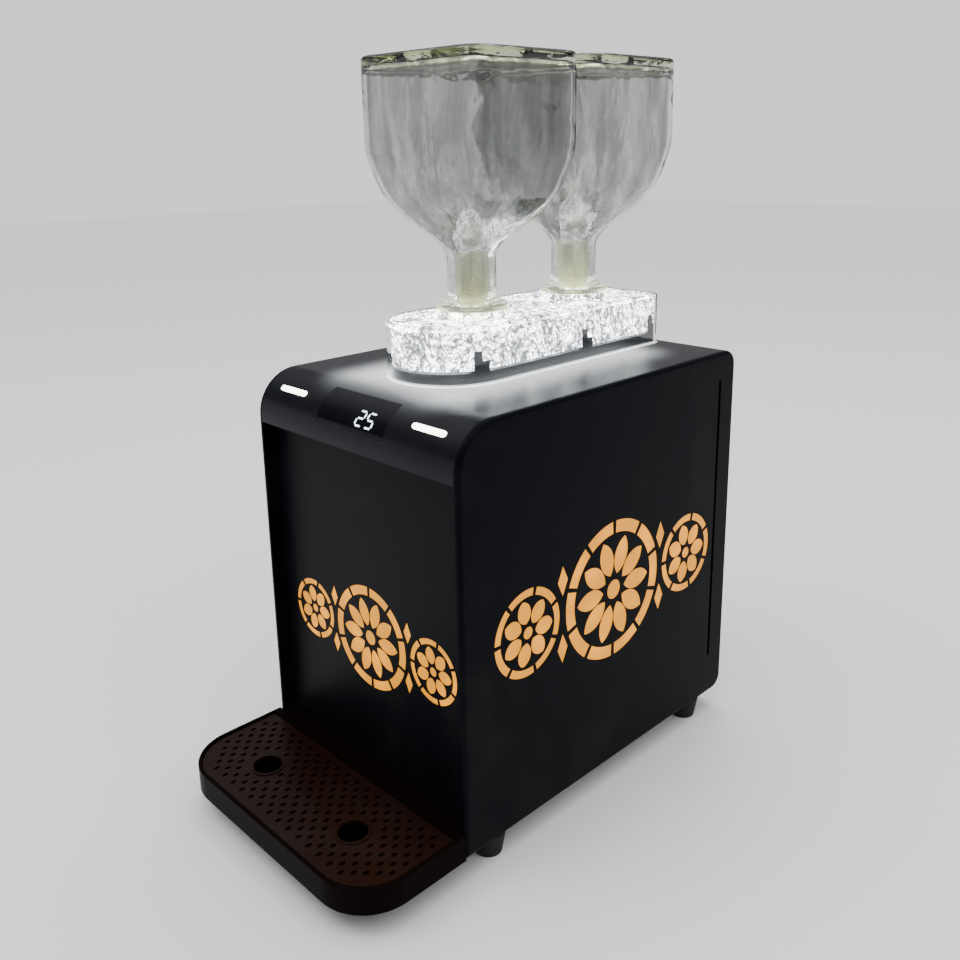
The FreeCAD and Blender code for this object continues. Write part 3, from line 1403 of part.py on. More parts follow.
def electrics():
    """The supply on the floor pan, the control board on the stand and the rear sockets."""
    low = FLOOR + S.skin
    supply = body("power_supply", -S.supply_width / 2, COLD_BACK - S.supply_length - 2, low)
    pad(supply, "XY_Plane", [rounded(0, 0, S.supply_width, S.supply_length, S.screw_head)], S.supply_height)
    node(supply)
    face = S.cold_width / 2 + S.foam
    board = block("control_board_plate", face, COLD_FRONT + S.stand_setback + 6, low + S.stand_foot * 2,
                  S.board_thick, S.control_width, S.control_height)
    chips = [
        block(f"control_board_chip_{number}", face + S.board_thick, COLD_FRONT + S.stand_setback + 14 + 18 * number,
              low + S.stand_foot * 2 + 12 + 22 * number, 4 + 3 * number, 12, 16)
        for number in range(3)
    ]
    node(fuse("control_board", board, *chips))
    inlet_z = FLOOR + S.inlet_level
    wide, tall = S.inlet_width, S.inlet_height
    inlet = body("power_inlet", S.inlet_offset, REAR_FACE, inlet_z)
    pad(inlet, "XZ_Plane", [centred_rectangle(0, 0, wide - 0.4, tall - 0.4)], S.skin + 16)
    pad(inlet, "XZ_Plane", [rounded(-wide / 2 - 3, -tall / 2 - 3, wide + 6, tall + 6, S.screw_head)], S.skin * 0.9, reverse=True)
    pocket(inlet, "XZ_Plane", [centred_rectangle(0, 0, wide - 4.4, tall - 4.4)], S.skin * 8, lift=-S.skin, reverse=True)
    pins = [centred_rectangle(Size(u, repr(u)), Size(v, repr(v)), Size(2, "2"), Size(4.5, "4.5"))
            for u, v in ((-7.0, -1.5), (0.0, 2.0), (7.0, -1.5))]
    pad(inlet, "XZ_Plane", pins, 12, lift=3.5)
    node(inlet)
    switch = body("power_switch", SWITCH_X, REAR_FACE, SWITCH_Z)
    sw, sh = S.rocker_width, S.rocker_height
    pad(switch, "XZ_Plane", [centred_rectangle(0, 0, sw + 1.6, sh + 1.6)], S.skin + 12)
    pad(switch, "XZ_Plane", [rounded(-sw / 2 - 2.5, -sh / 2 - 2.5, sw + 5, sh + 5, S.screw_radius)], S.skin * 0.4, reverse=True)
    pocket(switch, "XZ_Plane", [centred_rectangle(0, 0, sw - 0.4, sh - 0.4)], S.skin * 5, lift=-S.skin, reverse=True)
    pin_place = REAR_FACE - S.rocker_height * 0.22
    switch_pin = rod("power_switch_pin", SWITCH_X - sw / 2, pin_place, SWITCH_Z, S.screw_radius, sw, "X")
    node(fuse("power_switch_body", switch, switch_pin))
    rocker = body("power_rocker", SWITCH_X, pin_place, SWITCH_Z)
    half = sh / 2 - S.skin * 0.75
    wedge = [
        line(S.screw_radius * 2.4, 0), line(S.skin * 2.4, half), line(S.skin * 1.2, half), line(-S.skin * 1.5, 0),
        line(S.skin * 1.2, -half), line(S.skin * 1.2 + 0.6, -half),
    ]
    pad(rocker, "YZ_Plane", [wedge], sw - 1.2, centred=True)
    pocket(rocker, "YZ_Plane", [disc(0, 0, S.screw_radius + 0.05)], sw, centred=True)
    node(rocker)


# Back-lit ornament: amber windows behind the cut panels and their light boards

def lamps():
    """An amber sheet with inlays that fill the windows, and a light board, behind each ornament."""
    reach, rise = S.ornament_spacing + S.ornament_small + 4, S.ornament_big + 4
    middle = FRONT + S.ornament_depth_place
    level = FLOOR + S.ornament_level
    root = S.lamp_thick / 2
    gap = S.inlay_gap.value
    boards = []
    for name, hand in (("left", -1), ("right", 1)):
        label = f"ornament_pane_{name}"
        x = INNER - S.lamp_thick if hand > 0 else -INNER
        plate = block(label + "_sheet", x, middle - reach, level - rise, S.lamp_thick, reach * 2, rise * 2)
        low = INNER - root if hand > 0 else S.inlay_drop - S.case_width / 2
        inlays = ornament_cutter(label + "_inlays", 1.0, S.side_thick - S.inlay_drop + root, low,
                                 middle, level, ALONG["X"], gap)
        node(fuse(label, plate, inlays))
        x = INNER - S.lamp_thick - S.board_thick if hand > 0 else S.lamp_thick - INNER
        boards.append(block(f"side_light_board_{name}", x, middle - reach, level - rise, S.board_thick,
                            reach * 2, rise * 2))
    node(gather("side_light_boards", boards))
    half = INNER - S.side_flange - 1
    rise = S.ornament_big * S.front_scale + 3
    level = FLOOR + S.front_ornament_level
    plate = block("ornament_pane_front_sheet", -half, PANEL_BACK, level - rise, half * 2, S.lamp_thick, rise * 2)
    inlays = ornament_cutter("ornament_pane_front_inlays", S.front_scale.value, S.skin - S.inlay_drop + root,
                             0, PANEL_BACK + root, level, ALONG["-Y"], gap)
    node(fuse("ornament_pane_front", plate, inlays))
    node(block("front_light_board", -half, PANEL_BACK + S.lamp_thick, level - rise, half * 2, S.board_thick,
               rise * 2))


mirrored(side_panel)
top_cover()
front_panel()
rear_panel()
base_plate()
feet()
rear_screws()
drip_tray()
drip_grille()
display()
keys()
button_board()
ice_block()
for bottle_name, bottle_y in BOTTLES:
    bottle(bottle_name, bottle_y)
    stopper(bottle_name, bottle_y)
    socket(bottle_name, bottle_y)
seals()
cooling()
fan()
pumps()
tubes()
electrics()
lamps()

doc.recompute()
faults = [item.Label for item in doc.Objects if "Invalid" in item.State or "Error" in item.State]
if faults:
    raise SystemExit(f"objects failed to compute: {faults}")
for label, item in NODES.items():
    if item.Shape.isNull() or not item.Shape.isValid():
        raise SystemExit(f"{label} has no valid shape")

os.makedirs("parts", exist_ok=True)
for label, item in NODES.items():
    item.Shape.exportStep(f"parts/{label}.step")
print(f"{len(NODES)} nodes written")
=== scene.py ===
"""Looks of the two-bottle party shot dispenser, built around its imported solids.

Metres, in the part's own frame: +Z up, the drip tray towards -Y, the floor at Z = 0.
"""

import logging
import math
from dataclasses import dataclass, field
from enum import Enum
from typing import ClassVar

import bpy
import numpy as np
from mathutils import Matrix, Vector


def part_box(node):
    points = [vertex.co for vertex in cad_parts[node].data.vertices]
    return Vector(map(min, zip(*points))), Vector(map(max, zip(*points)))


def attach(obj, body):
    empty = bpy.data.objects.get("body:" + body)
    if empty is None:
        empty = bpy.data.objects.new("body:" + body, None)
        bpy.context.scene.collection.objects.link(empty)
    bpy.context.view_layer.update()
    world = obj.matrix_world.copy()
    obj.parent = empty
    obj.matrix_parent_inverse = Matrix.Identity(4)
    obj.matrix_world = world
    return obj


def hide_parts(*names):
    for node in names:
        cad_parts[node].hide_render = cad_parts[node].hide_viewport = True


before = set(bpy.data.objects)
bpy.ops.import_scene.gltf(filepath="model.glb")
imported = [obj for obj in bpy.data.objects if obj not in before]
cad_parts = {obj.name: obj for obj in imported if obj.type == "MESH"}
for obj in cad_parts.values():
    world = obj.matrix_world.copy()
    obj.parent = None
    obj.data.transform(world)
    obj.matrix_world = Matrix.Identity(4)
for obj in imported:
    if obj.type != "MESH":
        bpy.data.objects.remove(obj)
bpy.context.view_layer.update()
log = logging.getLogger("dispenser")

MM = 0.001
Colour = tuple[float, float, float, float]


def grey(level: float) -> Colour:
    """Returns an opaque neutral colour."""
    return (level, level, level, 1.0)


def dimmed(colour: Colour, share: float) -> Colour:
    """Returns a colour with its light multiplied by a share, which may be over 1."""
    return (colour[0] * share, colour[1] * share, colour[2] * share, 1.0)


# Shader nodes


class Wire:
    """A value travelling through a shader, which takes part in Python arithmetic."""

    def __init__(self, graph: "Graph", socket: bpy.types.NodeSocket) -> None:
        """Wraps one output socket.

        Args:
            graph: The shader graph that owns the socket.
            socket: The output that holds the value.
        """
        self.graph = graph
        self.socket = socket

    def _math(self, operation: str, *values: "Wire | float") -> "Wire":
        """Returns the result of a Math node on the given values."""
        return self.graph.node("ShaderNodeMath", {"operation": operation}, dict(enumerate(values)))

    def __add__(self, other: "Wire | float") -> "Wire":
        """Returns the sum."""
        return self._math("ADD", self, other)

    __radd__ = __add__

    def __sub__(self, other: "Wire | float") -> "Wire":
        """Returns the difference."""
        return self._math("SUBTRACT", self, other)

    def __rsub__(self, other: "Wire | float") -> "Wire":
        """Returns the difference from a plain number."""
        return self._math("SUBTRACT", other, self)

    def __mul__(self, other: "Wire | float") -> "Wire":
        """Returns the product."""
        return self._math("MULTIPLY", self, other)

    __rmul__ = __mul__

    def __pow__(self, other: "Wire | float") -> "Wire":
        """Returns the power."""
        return self._math("POWER", self, other)

    def size(self) -> "Wire":
        """Returns the value without its sign."""
        return self._math("ABSOLUTE", self)

    def at_least(self, level: float) -> "Wire":
        """Returns the value, or a level where the value is under it."""
        return self._math("MAXIMUM", self, level)

    def fade(self, low: float, high: float) -> "Wire":
        """Returns a smooth step that goes from 0 to 1 between two levels."""
        return self.graph.node(
            "ShaderNodeMapRange",
            {"interpolation_type": "SMOOTHSTEP"},
            {"Value": self, "From Min": low, "From Max": high},
        )


class CellReading(Enum):
    """What a cell pattern tells about a place: its form and its output in Blender's words."""

    NEAR = ("F1", "Distance")
    EDGE = ("DISTANCE_TO_EDGE", "Distance")
    TINT = ("F1", "Color")


class Graph:
    """The shader graph of one material, around a Principled shader."""

    def __init__(self, name: str) -> None:
        """Starts an empty material.

        Args:
            name: The material's name.
        """
        self.material = bpy.data.materials.new(name)
        self.material.use_nodes = True
        self.tree = self.material.node_tree
        self.tree.nodes.clear()
        self.surface = self.tree.nodes.new("ShaderNodeBsdfPrincipled")
        result = self.tree.nodes.new("ShaderNodeOutputMaterial")
        self.tree.links.new(self.surface.outputs[0], result.inputs["Surface"])

    def node(self, kind: str, settings: dict, inputs: dict, output: int | str = 0) -> Wire:
        """Adds one node.

        Args:
            kind: The node's type.
            settings: Its own settings, which are set first.
            inputs: Values or wires by the name or number of the input.
            output: The name or number of the output to return.

        Returns:
            The chosen output.
        """
        made = self.tree.nodes.new(kind)
        for key, value in settings.items():
            setattr(made, key, value)
        for key, value in inputs.items():
            self.feed(made.inputs[key], value)
        return Wire(self, made.outputs[output])

    def feed(self, socket: bpy.types.NodeSocket, value: "Wire | float | tuple") -> None:
        """Links a wire to an input, or sets a plain value on it."""
        if isinstance(value, Wire):
            self.tree.links.new(value.socket, socket)
        else:
            socket.default_value = value

    def shade(self, **inputs: "Wire | float | tuple") -> None:
        """Feeds inputs of the surface shader; an underscore here is a space in the input's name."""
        for key, value in inputs.items():
            self.feed(self.surface.inputs[key.replace("_", " ")], value)

    def place(self, stretch: tuple[float, float, float] = (1, 1, 1)) -> Wire:
        """Returns the place on the object, stretched along its axes."""
        spot = self.node("ShaderNodeTexCoord", {}, {}, "Object")
        return self.node("ShaderNodeMapping", {}, {"Vector": spot, "Scale": stretch})

    def axis(self, letter: str) -> Wire:
        """Returns one coordinate of the place on the object: X, Y or Z, in metres."""
        spot = self.node("ShaderNodeTexCoord", {}, {}, "Object")
        return self.node("ShaderNodeSeparateXYZ", {}, {"Vector": spot}, letter)

    def noise(self, where: Wire, size: float, detail: float = 3, warp: float = 0) -> Wire:
        """Returns cloudy noise from 0 to 1 whose lumps have about the given size in metres."""
        sizes = {"Vector": where, "Scale": 1 / size, "Detail": detail, "Distortion": warp}
        return self.node("ShaderNodeTexNoise", {}, sizes)

    def cells(self, where: Wire, size: float, reading: CellReading = CellReading.NEAR) -> Wire:
        """Returns a pattern of cells that have about the given size in metres."""
        form, output = reading.value
        sizes = {"Vector": where, "Scale": 1 / size}
        return self.node("ShaderNodeTexVoronoi", {"feature": form}, sizes, output)

    def tint(self, where: Wire, size: float, channel: str) -> Wire:
        """Returns one channel of the colour that a pattern gives each cell: a level for each."""
        colour = self.cells(where, size, CellReading.TINT)
        return self.node("ShaderNodeSeparateColor", {}, {"Color": colour}, channel)

    def mix(self, share: "Wire | float", first: "Wire | Colour", second: "Wire | Colour") -> Wire:
        """Returns a colour between two, by a share of the second."""
        sockets = {0: share, 6: first, 7: second}
        return self.node("ShaderNodeMix", {"data_type": "RGBA"}, sockets, 2)

    def bump(self, height: Wire, depth: float, under: "Wire | None" = None) -> Wire:
        """Returns a surface direction tilted by a height that spans a depth in metres.

        Args:
            height: The relief, from 0 to 1.
            depth: What a height of 1 stands for.
            under: A coarser relief that this one lies on.

        Returns:
            The direction, for the Normal input.
        """
        sockets = {"Height": height, "Distance": depth, "Strength": 1.0}
        if under is not None:
            sockets["Normal"] = under
        return self.node("ShaderNodeBump", {}, sockets)


# Finishes


@dataclass(frozen=True)
class Finish:
    """What a piece is made of; each kind of finish paints its own shader."""

    name: str
    colour: Colour

    def paint(self, g: Graph) -> None:
        """Wires the finish's shader graph."""
        raise NotImplementedError

    def material(self) -> bpy.types.Material:
        """Returns the finish's material, made once."""
        if self.name not in bpy.data.materials:
            self.paint(Graph(self.name))
        return bpy.data.materials[self.name]

    def dress(self, piece: bpy.types.Object) -> None:
        """Puts the finish on a piece in place of what it has."""
        piece.data.materials.clear()
        piece.data.materials.append(self.material())


@dataclass(frozen=True)
class PowderCoat(Finish):
    """Sprayed coat on sheet metal: a fine orange-peel skin with faint dust and hand marks."""

    roughness: float = 0.4
    sheen: float = 0.12
    peel: float = 1.1 * MM
    peel_depth: float = 0.02 * MM
    dust: float = 0.012
    dust_colour: Colour = (0.45, 0.43, 0.41, 1.0)
    hand_size: float = 60 * MM
    speck_pitch: float = 3.1 * MM
    speck_patch: float = 25 * MM
    coat: float = 0.0

    def paint(self, g: Graph) -> None:
        """Wires peel, cloudy roughness and a film of dust."""
        where = g.place()
        skin = g.noise(where, self.peel, 2)
        cloud = g.noise(where, self.hand_size, 4, 0.6)
        patches = g.noise(where, self.speck_patch, 2).fade(0.5, 0.75)
        specks = g.cells(where, self.speck_pitch).fade(0.10, 0.04) * patches
        film = cloud.fade(0.45, 0.85) * self.dust + specks * self.dust * 3
        g.shade(
            Base_Color=g.mix(film, self.colour, self.dust_colour),
            Roughness=cloud * 0.14 + film + (self.roughness - 0.07),
            Specular_IOR_Level=self.sheen,
            Coat_Weight=self.coat,
            Coat_Roughness=0.2,
            Normal=g.bump(skin, self.peel_depth),
        )


@dataclass(frozen=True)
class PooledCoat(PowderCoat):
    """The sprayed coat of the top, with the pool of light that the lit block throws on it."""

    middle_x: float = 6 * MM
    middle_y: float = 35 * MM
    half_x: float = 40 * MM
    half_y: float = 84 * MM
    reach: float = 50 * MM
    falloff: float = 1.9
    low: float = 0.28
    high: float = 0.296
    light: Colour = (0.93, 0.97, 1.0, 1.0)
    glow: float = 1.35

    def paint(self, g: Graph) -> None:
        """Wires the coat, then a glow that fades with the distance from the block's outline.

        The distance is the length of the two amounts by which a place lies outside a rectangle.
        """
        super().paint(g)
        aside = ((g.axis("X") - self.middle_x).size() - self.half_x).at_least(0)
        along = ((g.axis("Y") - self.middle_y).size() - self.half_y).at_least(0)
        away = (aside * aside + along * along) ** 0.5
        pool = away.fade(self.reach, 0.0) ** self.falloff * g.axis("Z").fade(self.low, self.high)
        g.shade(
            Emission_Color=g.mix(pool, grey(0.0), self.light),
            Emission_Strength=self.glow,
        )


@dataclass(frozen=True)
class Moulded(Finish):
    """Moulded plastic or rubber with a spark-eroded grain."""

    roughness: float = 0.45
    grain: float = 0.5 * MM
    grain_depth: float = 0.02 * MM
    sheen: float = 0.5
    scuff: float = 0.05
    scuff_length: float = 9 * MM
    sink_size: float = 30 * MM

    def paint(self, g: Graph) -> None:
        """Wires grain, sink-mark clouds and light scuffs."""
        where = g.place()
        grain = g.noise(where, self.grain, 2)
        cloud = g.noise(where, self.sink_size, 3)
        streak = g.noise(g.place((1, 7, 1)), self.scuff_length, 5, 1.5).fade(0.58, 0.72)
        pale = tuple(min(c + 0.12, 1.0) for c in self.colour[:3]) + (1.0,)
        g.shade(
            Base_Color=g.mix(streak * self.scuff + cloud * self.scuff, self.colour, pale),
            Roughness=cloud * 0.12 + streak * self.scuff + (self.roughness - 0.06),
            Specular_IOR_Level=self.sheen,
            Normal=g.bump(grain, self.grain_depth),
        )


@dataclass(frozen=True)
class Metal(Finish):
    """Bare metal with drawn lines along one direction."""

    roughness: float = 0.3
    lines: tuple[float, float, float] = (1, 1, 30)
    grain: float = 3 * MM
    spot_size: float = 18 * MM
    dullest: float = 0.78

    def paint(self, g: Graph) -> None:
        """Wires drawn lines into the colour, roughness and relief."""
        drawn = g.noise(g.place(self.lines), self.grain, 4)
        spots = g.noise(g.place(), self.spot_size, 3)
        g.shade(
            Base_Color=g.mix(drawn * 0.5 + spots * 0.4, self.colour, dimmed(self.colour, self.dullest)),
            Metallic=1.0,
            Roughness=drawn * 0.16 + spots * 0.12 + (self.roughness - 0.12),
            Normal=g.bump(drawn, 0.015 * MM),
        )


@dataclass(frozen=True)
class BottleGlass(Finish):
    """Thick bottle glass with slow waves in its skin, greener where the base is thick."""

    base_height: float = 0.504
    base_depth: float = 8 * MM
    base_tint: Colour = (0.58, 0.66, 0.27, 1.0)
    lip_height: float = 0.3385
    lip_depth: float = 13 * MM
    lip_glow: float = 0.32
    spark: float = 1.7 * MM
    spark_low: float = 0.372
    spark_high: float = 0.428
    spark_glow: float = 2.0
    light: Colour = (0.78, 0.84, 0.56, 1.0)
    wave: float = 30 * MM
    wave_depth: float = 2 * MM
    streak: float = 17 * MM
    streak_light: float = 0.60

    def paint(self, g: Graph) -> None:
        """Wires waves, streaks and the base's tint, then the light of the block in lip and neck."""
        where = g.place()
        waves = g.noise(where, self.wave, 2, 0.4)
        fine = g.noise(where, 5 * MM, 2)
        drawn = g.noise(g.place((1, 1, 0.22)), self.streak, 3, 0.8).fade(0.41, 0.59)
        body = g.mix(drawn, dimmed(self.colour, self.streak_light), self.colour)
        height = g.axis("Z")
        thick = height.fade(self.base_height - self.base_depth, self.base_height)
        patches = g.noise(where, 14 * MM, 3).fade(0.46, 0.60)
        near_block = height.fade(self.spark_high, self.spark_low)
        sparks = g.cells(where, self.spark).fade(0.26, 0.06) * (patches * near_block)
        lip = height.fade(self.lip_height + self.lip_depth, self.lip_height)
        lit = lip * self.lip_glow + sparks * self.spark_glow
        g.shade(
            Base_Color=g.mix(thick, body, self.base_tint),
            Roughness=fine * 0.03,
            Transmission_Weight=1.0,
            IOR=1.5,
            Emission_Color=g.mix(lit, grey(0.0), self.light),
            Emission_Strength=1.0,
            Normal=g.bump(fine, 0.03 * MM, g.bump(waves, self.wave_depth)),
        )


@dataclass(frozen=True)
class Acrylic(Finish):
    """Clear cast acrylic with the faintest ripple and fine scratches."""

    roughness: float = 0.02
    foot: float = 0.296
    edge: float = 0.8 * MM
    edge_soft: float = 0.3 * MM
    edge_glow: float = 1.5

    def paint(self, g: Graph) -> None:
        """Wires the ripple, the scratches and the light that leaves at the lower edge."""
        where = g.place()
        rise = g.axis("Z") - self.foot
        patchy = g.noise(where, 9 * MM, 2) * 0.6 + 0.4
        rim = rise.fade(self.edge + self.edge_soft, self.edge) * patchy
        ripple = g.noise(where, 20 * MM, 2)
        scratch = g.noise(g.place((1, 14, 9)), 6 * MM, 5, 2.0).fade(0.66, 0.74)
        g.shade(
            Base_Color=self.colour,
            Roughness=scratch * 0.12 + self.roughness,
            Transmission_Weight=1.0,
            IOR=1.49,
            Emission_Color=g.mix(rim, grey(0.0), self.colour),
            Emission_Strength=self.edge_glow,
            Normal=g.bump(ripple + scratch * 0.05, 0.2 * MM),
        )


@dataclass(frozen=True)
class CrackledIce(Finish):
    """Lit crushed-ice acrylic: bright shards and chips, crossed by dark crumpled creases."""

    glow: float = 1.0
    shard: float = 8 * MM
    chip: float = 3 * MM
    bend: float = 11 * MM
    bend_scale: float = 110.0
    cloud: float = 13 * MM
    creases: tuple[tuple[float, float], ...] = ((17 * MM, 1.5), (9 * MM, 2.0), (6 * MM, 2.0))
    crease_stretch: tuple[float, float, float] = (1, 1, 0.8)
    crease_width: float = 0.065
    crease_light: float = 0.04
    dark: Colour = (0.012, 0.013, 0.014, 1.0)

    def bent(self, g: Graph) -> Wire:
        """Returns the place on the object, pushed about so that the shards' sides aren't straight."""
        where = g.place()
        sizes = {"Vector": where, "Scale": self.bend_scale, "Detail": 3.0}
        push = g.node("ShaderNodeTexNoise", {}, sizes, "Color")
        sockets = {0: push, 1: (self.bend, self.bend, self.bend), 2: where}
        return g.node("ShaderNodeVectorMath", {"operation": "MULTIPLY_ADD"}, sockets)

    def crumple(self, g: Graph) -> Wire:
        """Returns 1 on open faces and less along creases, where noise passes its middle level."""
        light: Wire | float = 1.0
        for size, warp in self.creases:
            ridge = (g.noise(g.place(self.crease_stretch), size, 4, warp) - 0.5).size()
            open_face = ridge.fade(0.0, self.crease_width)
            light = (open_face * (1 - self.crease_light) + self.crease_light) * light
        return light

    def paint(self, g: Graph) -> None:
        """Wires shards at two sizes, their folds, the creases, and the light that they hold."""
        bent = self.bent(g)
        shard = g.tint(bent, self.shard, "Red")
        chip = g.tint(bent, self.chip, "Green")
        fold = g.cells(bent, self.shard, CellReading.EDGE).fade(0.0, 0.10)
        cloud = g.noise(g.place(), self.cloud, 4, 1.0)
        tone = (shard * 0.5 + chip * 0.5).fade(0.10, 0.60) * 0.5 + cloud.fade(0.36, 0.56) * 0.5
        lit = (tone * 0.7 + 0.3) * (fold * 0.3 + 0.7) * self.crumple(g)
        g.shade(
            Base_Color=g.mix(lit, grey(0.12), grey(0.92)),
            Roughness=0.3 - fold * 0.15,
            Emission_Color=g.mix(lit, self.dark, self.colour),
            Emission_Strength=self.glow,
            Normal=g.bump(fold * 0.6 + chip * 0.6 + shard, 1.6 * MM),
        )


@dataclass(frozen=True)
class Lit(Finish):
    """A lit diffuser whose light fades a little away from its lamps."""

    glow: float = 1.0
    body: float = 0.4
    lamp_pitch: float = 28 * MM
    shade: float = 0.12

    def paint(self, g: Graph) -> None:
        """Wires the soft spots of the lamps behind the sheet."""
        where = g.place()
        spots = g.cells(where, self.lamp_pitch).fade(0.75, 0.0)
        mottle = g.noise(where, 2 * MM, 3)
        dim = dimmed(self.colour, 1 - self.shade * 2)
        g.shade(
            Base_Color=g.mix(mottle * 0.2, dimmed(self.colour, self.body), self.colour),
            Roughness=mottle * 0.1 + 0.35,
            Specular_IOR_Level=0.25,
            Emission_Color=g.mix(spots * 0.8 + mottle * 0.2, dim, self.colour),
            Emission_Strength=self.glow,
            Normal=g.bump(mottle, 0.01 * MM),
        )


@dataclass(frozen=True)
class Frosted(Finish):
    """Frosted plastic that lets blurred light through and holds some of its own as a painted glow,
    standing in for the lit block's light carried up in it.
    """

    glow: float = 0.0
    lit_low: float = 0.335
    lit_high: float = 0.375
    # The frost's colour higher up, where the painted light of the block has faded
    less_lit_colour: Colour = (0.68, 0.69, 0.60, 1.0)

    def paint(self, g: Graph) -> None:
        """Wires the frosting, with painted light from the lit block: the colour is brightest just over
        the block and turns duller with the height over it.
        """
        where = g.place()
        frost = g.noise(where, 0.5 * MM, 3)
        cloud = g.noise(where, 8 * MM, 3)
        # Painted light: the lit block's light in the frost, strongest just over the block and fading
        # with the height
        rise = g.axis("Z").fade(self.lit_low, self.lit_high)
        body = g.mix(rise * 0.8 + cloud * 0.2, self.colour, self.less_lit_colour)
        g.shade(
            Base_Color=body,
            Roughness=cloud * 0.15 + 0.4,
            Transmission_Weight=0.55,
            IOR=1.45,
            Emission_Color=body,
            Emission_Strength=self.glow,
            Normal=g.bump(frost, 0.05 * MM),
        )


@dataclass(frozen=True)
class CircuitBoard(Finish):
    """Solder mask with copper tracks showing through as faint lanes."""

    lane_scale: float = 120.0
    lane_width: float = 0.03
    lane_light: float = 1.9
    pad_pitch: float = 4 * MM
    tin: Colour = (0.6, 0.55, 0.4, 1.0)

    def paint(self, g: Graph) -> None:
        """Wires tracks and pads."""
        where = g.place()
        lanes = g.node("ShaderNodeTexBrick", {"offset": 0.5}, {
            "Vector": where, "Scale": self.lane_scale, "Mortar Size": self.lane_width,
            "Color1": grey(0), "Color2": grey(0), "Mortar": grey(1),
        })
        pads = g.cells(where, self.pad_pitch).fade(0.16, 0.1)
        tracks = g.mix(lanes, self.colour, dimmed(self.colour, self.lane_light))
        g.shade(
            Base_Color=g.mix(pads, tracks, self.tin),
            Metallic=pads * 0.8,
            Roughness=0.35,
            Normal=g.bump(pads, 0.05 * MM),
        )


BLACK_CASE = PowderCoat("black_case_coat", (0.0011, 0.0015, 0.0030, 1), roughness=0.38, sheen=0.035)
BLACK_TOP = PooledCoat(
    "black_top_coat", (0.0022, 0.0028, 0.0056, 1), roughness=0.32, sheen=0.11, coat=0.04,
)
BLACK_FRONT = PowderCoat("black_front_coat", (0.0020, 0.0024, 0.0040, 1), roughness=0.42, sheen=0.06)
BLACK_PAN = PowderCoat("black_pan_coat", (0.012, 0.012, 0.013, 1), roughness=0.55, peel=0.8 * MM)
# Its red-brown tint is painted reflection of the amber panes' warm light on the black gloss
TRAY_BLACK = Moulded(
    "tray_gloss_black", (0.0034, 0.0014, 0.0012, 1),
    roughness=0.3, grain_depth=0.006 * MM, sheen=0.012, scuff=0.008,
)
# Its red-brown tint is painted reflection of the amber panes' warm light on the black coat
GRILLE_BLACK = PowderCoat(
    "grille_black_coat", (0.0100, 0.0034, 0.0022, 1), roughness=0.34, sheen=0.09, peel=0.8 * MM,
)
FOOT_RUBBER = Moulded(
    "foot_rubber", (0.008, 0.008, 0.008, 1),
    roughness=0.75, grain=0.8 * MM, grain_depth=0.06 * MM, sheen=0.2,
)
BAND_BLACK = Moulded("block_band", (0.035, 0.038, 0.048, 1), roughness=0.4, sheen=0.3)
DARK_MOULDING = Moulded("dark_moulding", (0.016, 0.016, 0.018, 1), roughness=0.45)
GREY_MOULDING = Moulded("grey_moulding", (0.09, 0.09, 0.10, 1), roughness=0.5)
WHITE_MOULDING = Moulded("white_moulding", (0.78, 0.77, 0.73, 1), roughness=0.4)
STEEL = Metal("drawn_steel", (0.56, 0.57, 0.58, 1))
ZINC = Metal("zinc_plate", (0.60, 0.61, 0.63, 1), roughness=0.38, lines=(1, 1, 2), grain=9 * MM)
DARK_SCREW = Metal(
    "blackened_screw", (0.09, 0.09, 0.10, 1), roughness=0.35, lines=(1, 1, 1), grain=1 * MM,
)
ALUMINIUM = Metal("milled_aluminium", (0.74, 0.75, 0.77, 1), roughness=0.34, lines=(24, 1, 1))
CERAMIC = Moulded("module_ceramic", (0.84, 0.84, 0.80, 1), roughness=0.6, grain_depth=0.01 * MM)
FOAM = Moulded(
    "insulating_foam", (0.035, 0.035, 0.035, 1), roughness=0.95, grain=1.3 * MM, grain_depth=0.5 * MM,
)
SILICONE = Frosted("silicone", (0.82, 0.84, 0.84, 1))
FROSTED = Frosted("frosted_stopper", (0.88, 0.90, 0.54, 1), glow=0.36)
BOARD = CircuitBoard("green_board", (0.012, 0.09, 0.04, 1))
GLASS = BottleGlass("bottle_glass", (0.70, 0.712, 0.695, 1))
CLEAR = Acrylic("clear_cover", (0.98, 0.99, 0.99, 1))
SMOKED = PowderCoat("smoked_lens", (0.0012, 0.0012, 0.0036, 1), roughness=0.1, sheen=0.14, peel=30 * MM)
ICE = CrackledIce("crackled_ice", (0.93, 0.96, 1.0, 1), glow=12.0)
LIT_SEAT = CrackledIce("lit_seat", (0.98, 1.0, 0.84, 1), glow=12.0)
LAMP_WHITE = Lit("white_lamp", (0.95, 0.97, 1.0, 1), glow=2.0)
AMBER = Lit("amber_pane", (0.95, 0.36, 0.008, 1), glow=1.55, shade=0.24, lamp_pitch=22 * MM)
KEY_LIGHT = Lit("key_light", (1.0, 0.93, 0.80, 1), glow=11.0, lamp_pitch=9 * MM)
DIGIT_LIGHT = Lit("digit_light", (0.86, 0.95, 1.0, 1), glow=4.0)

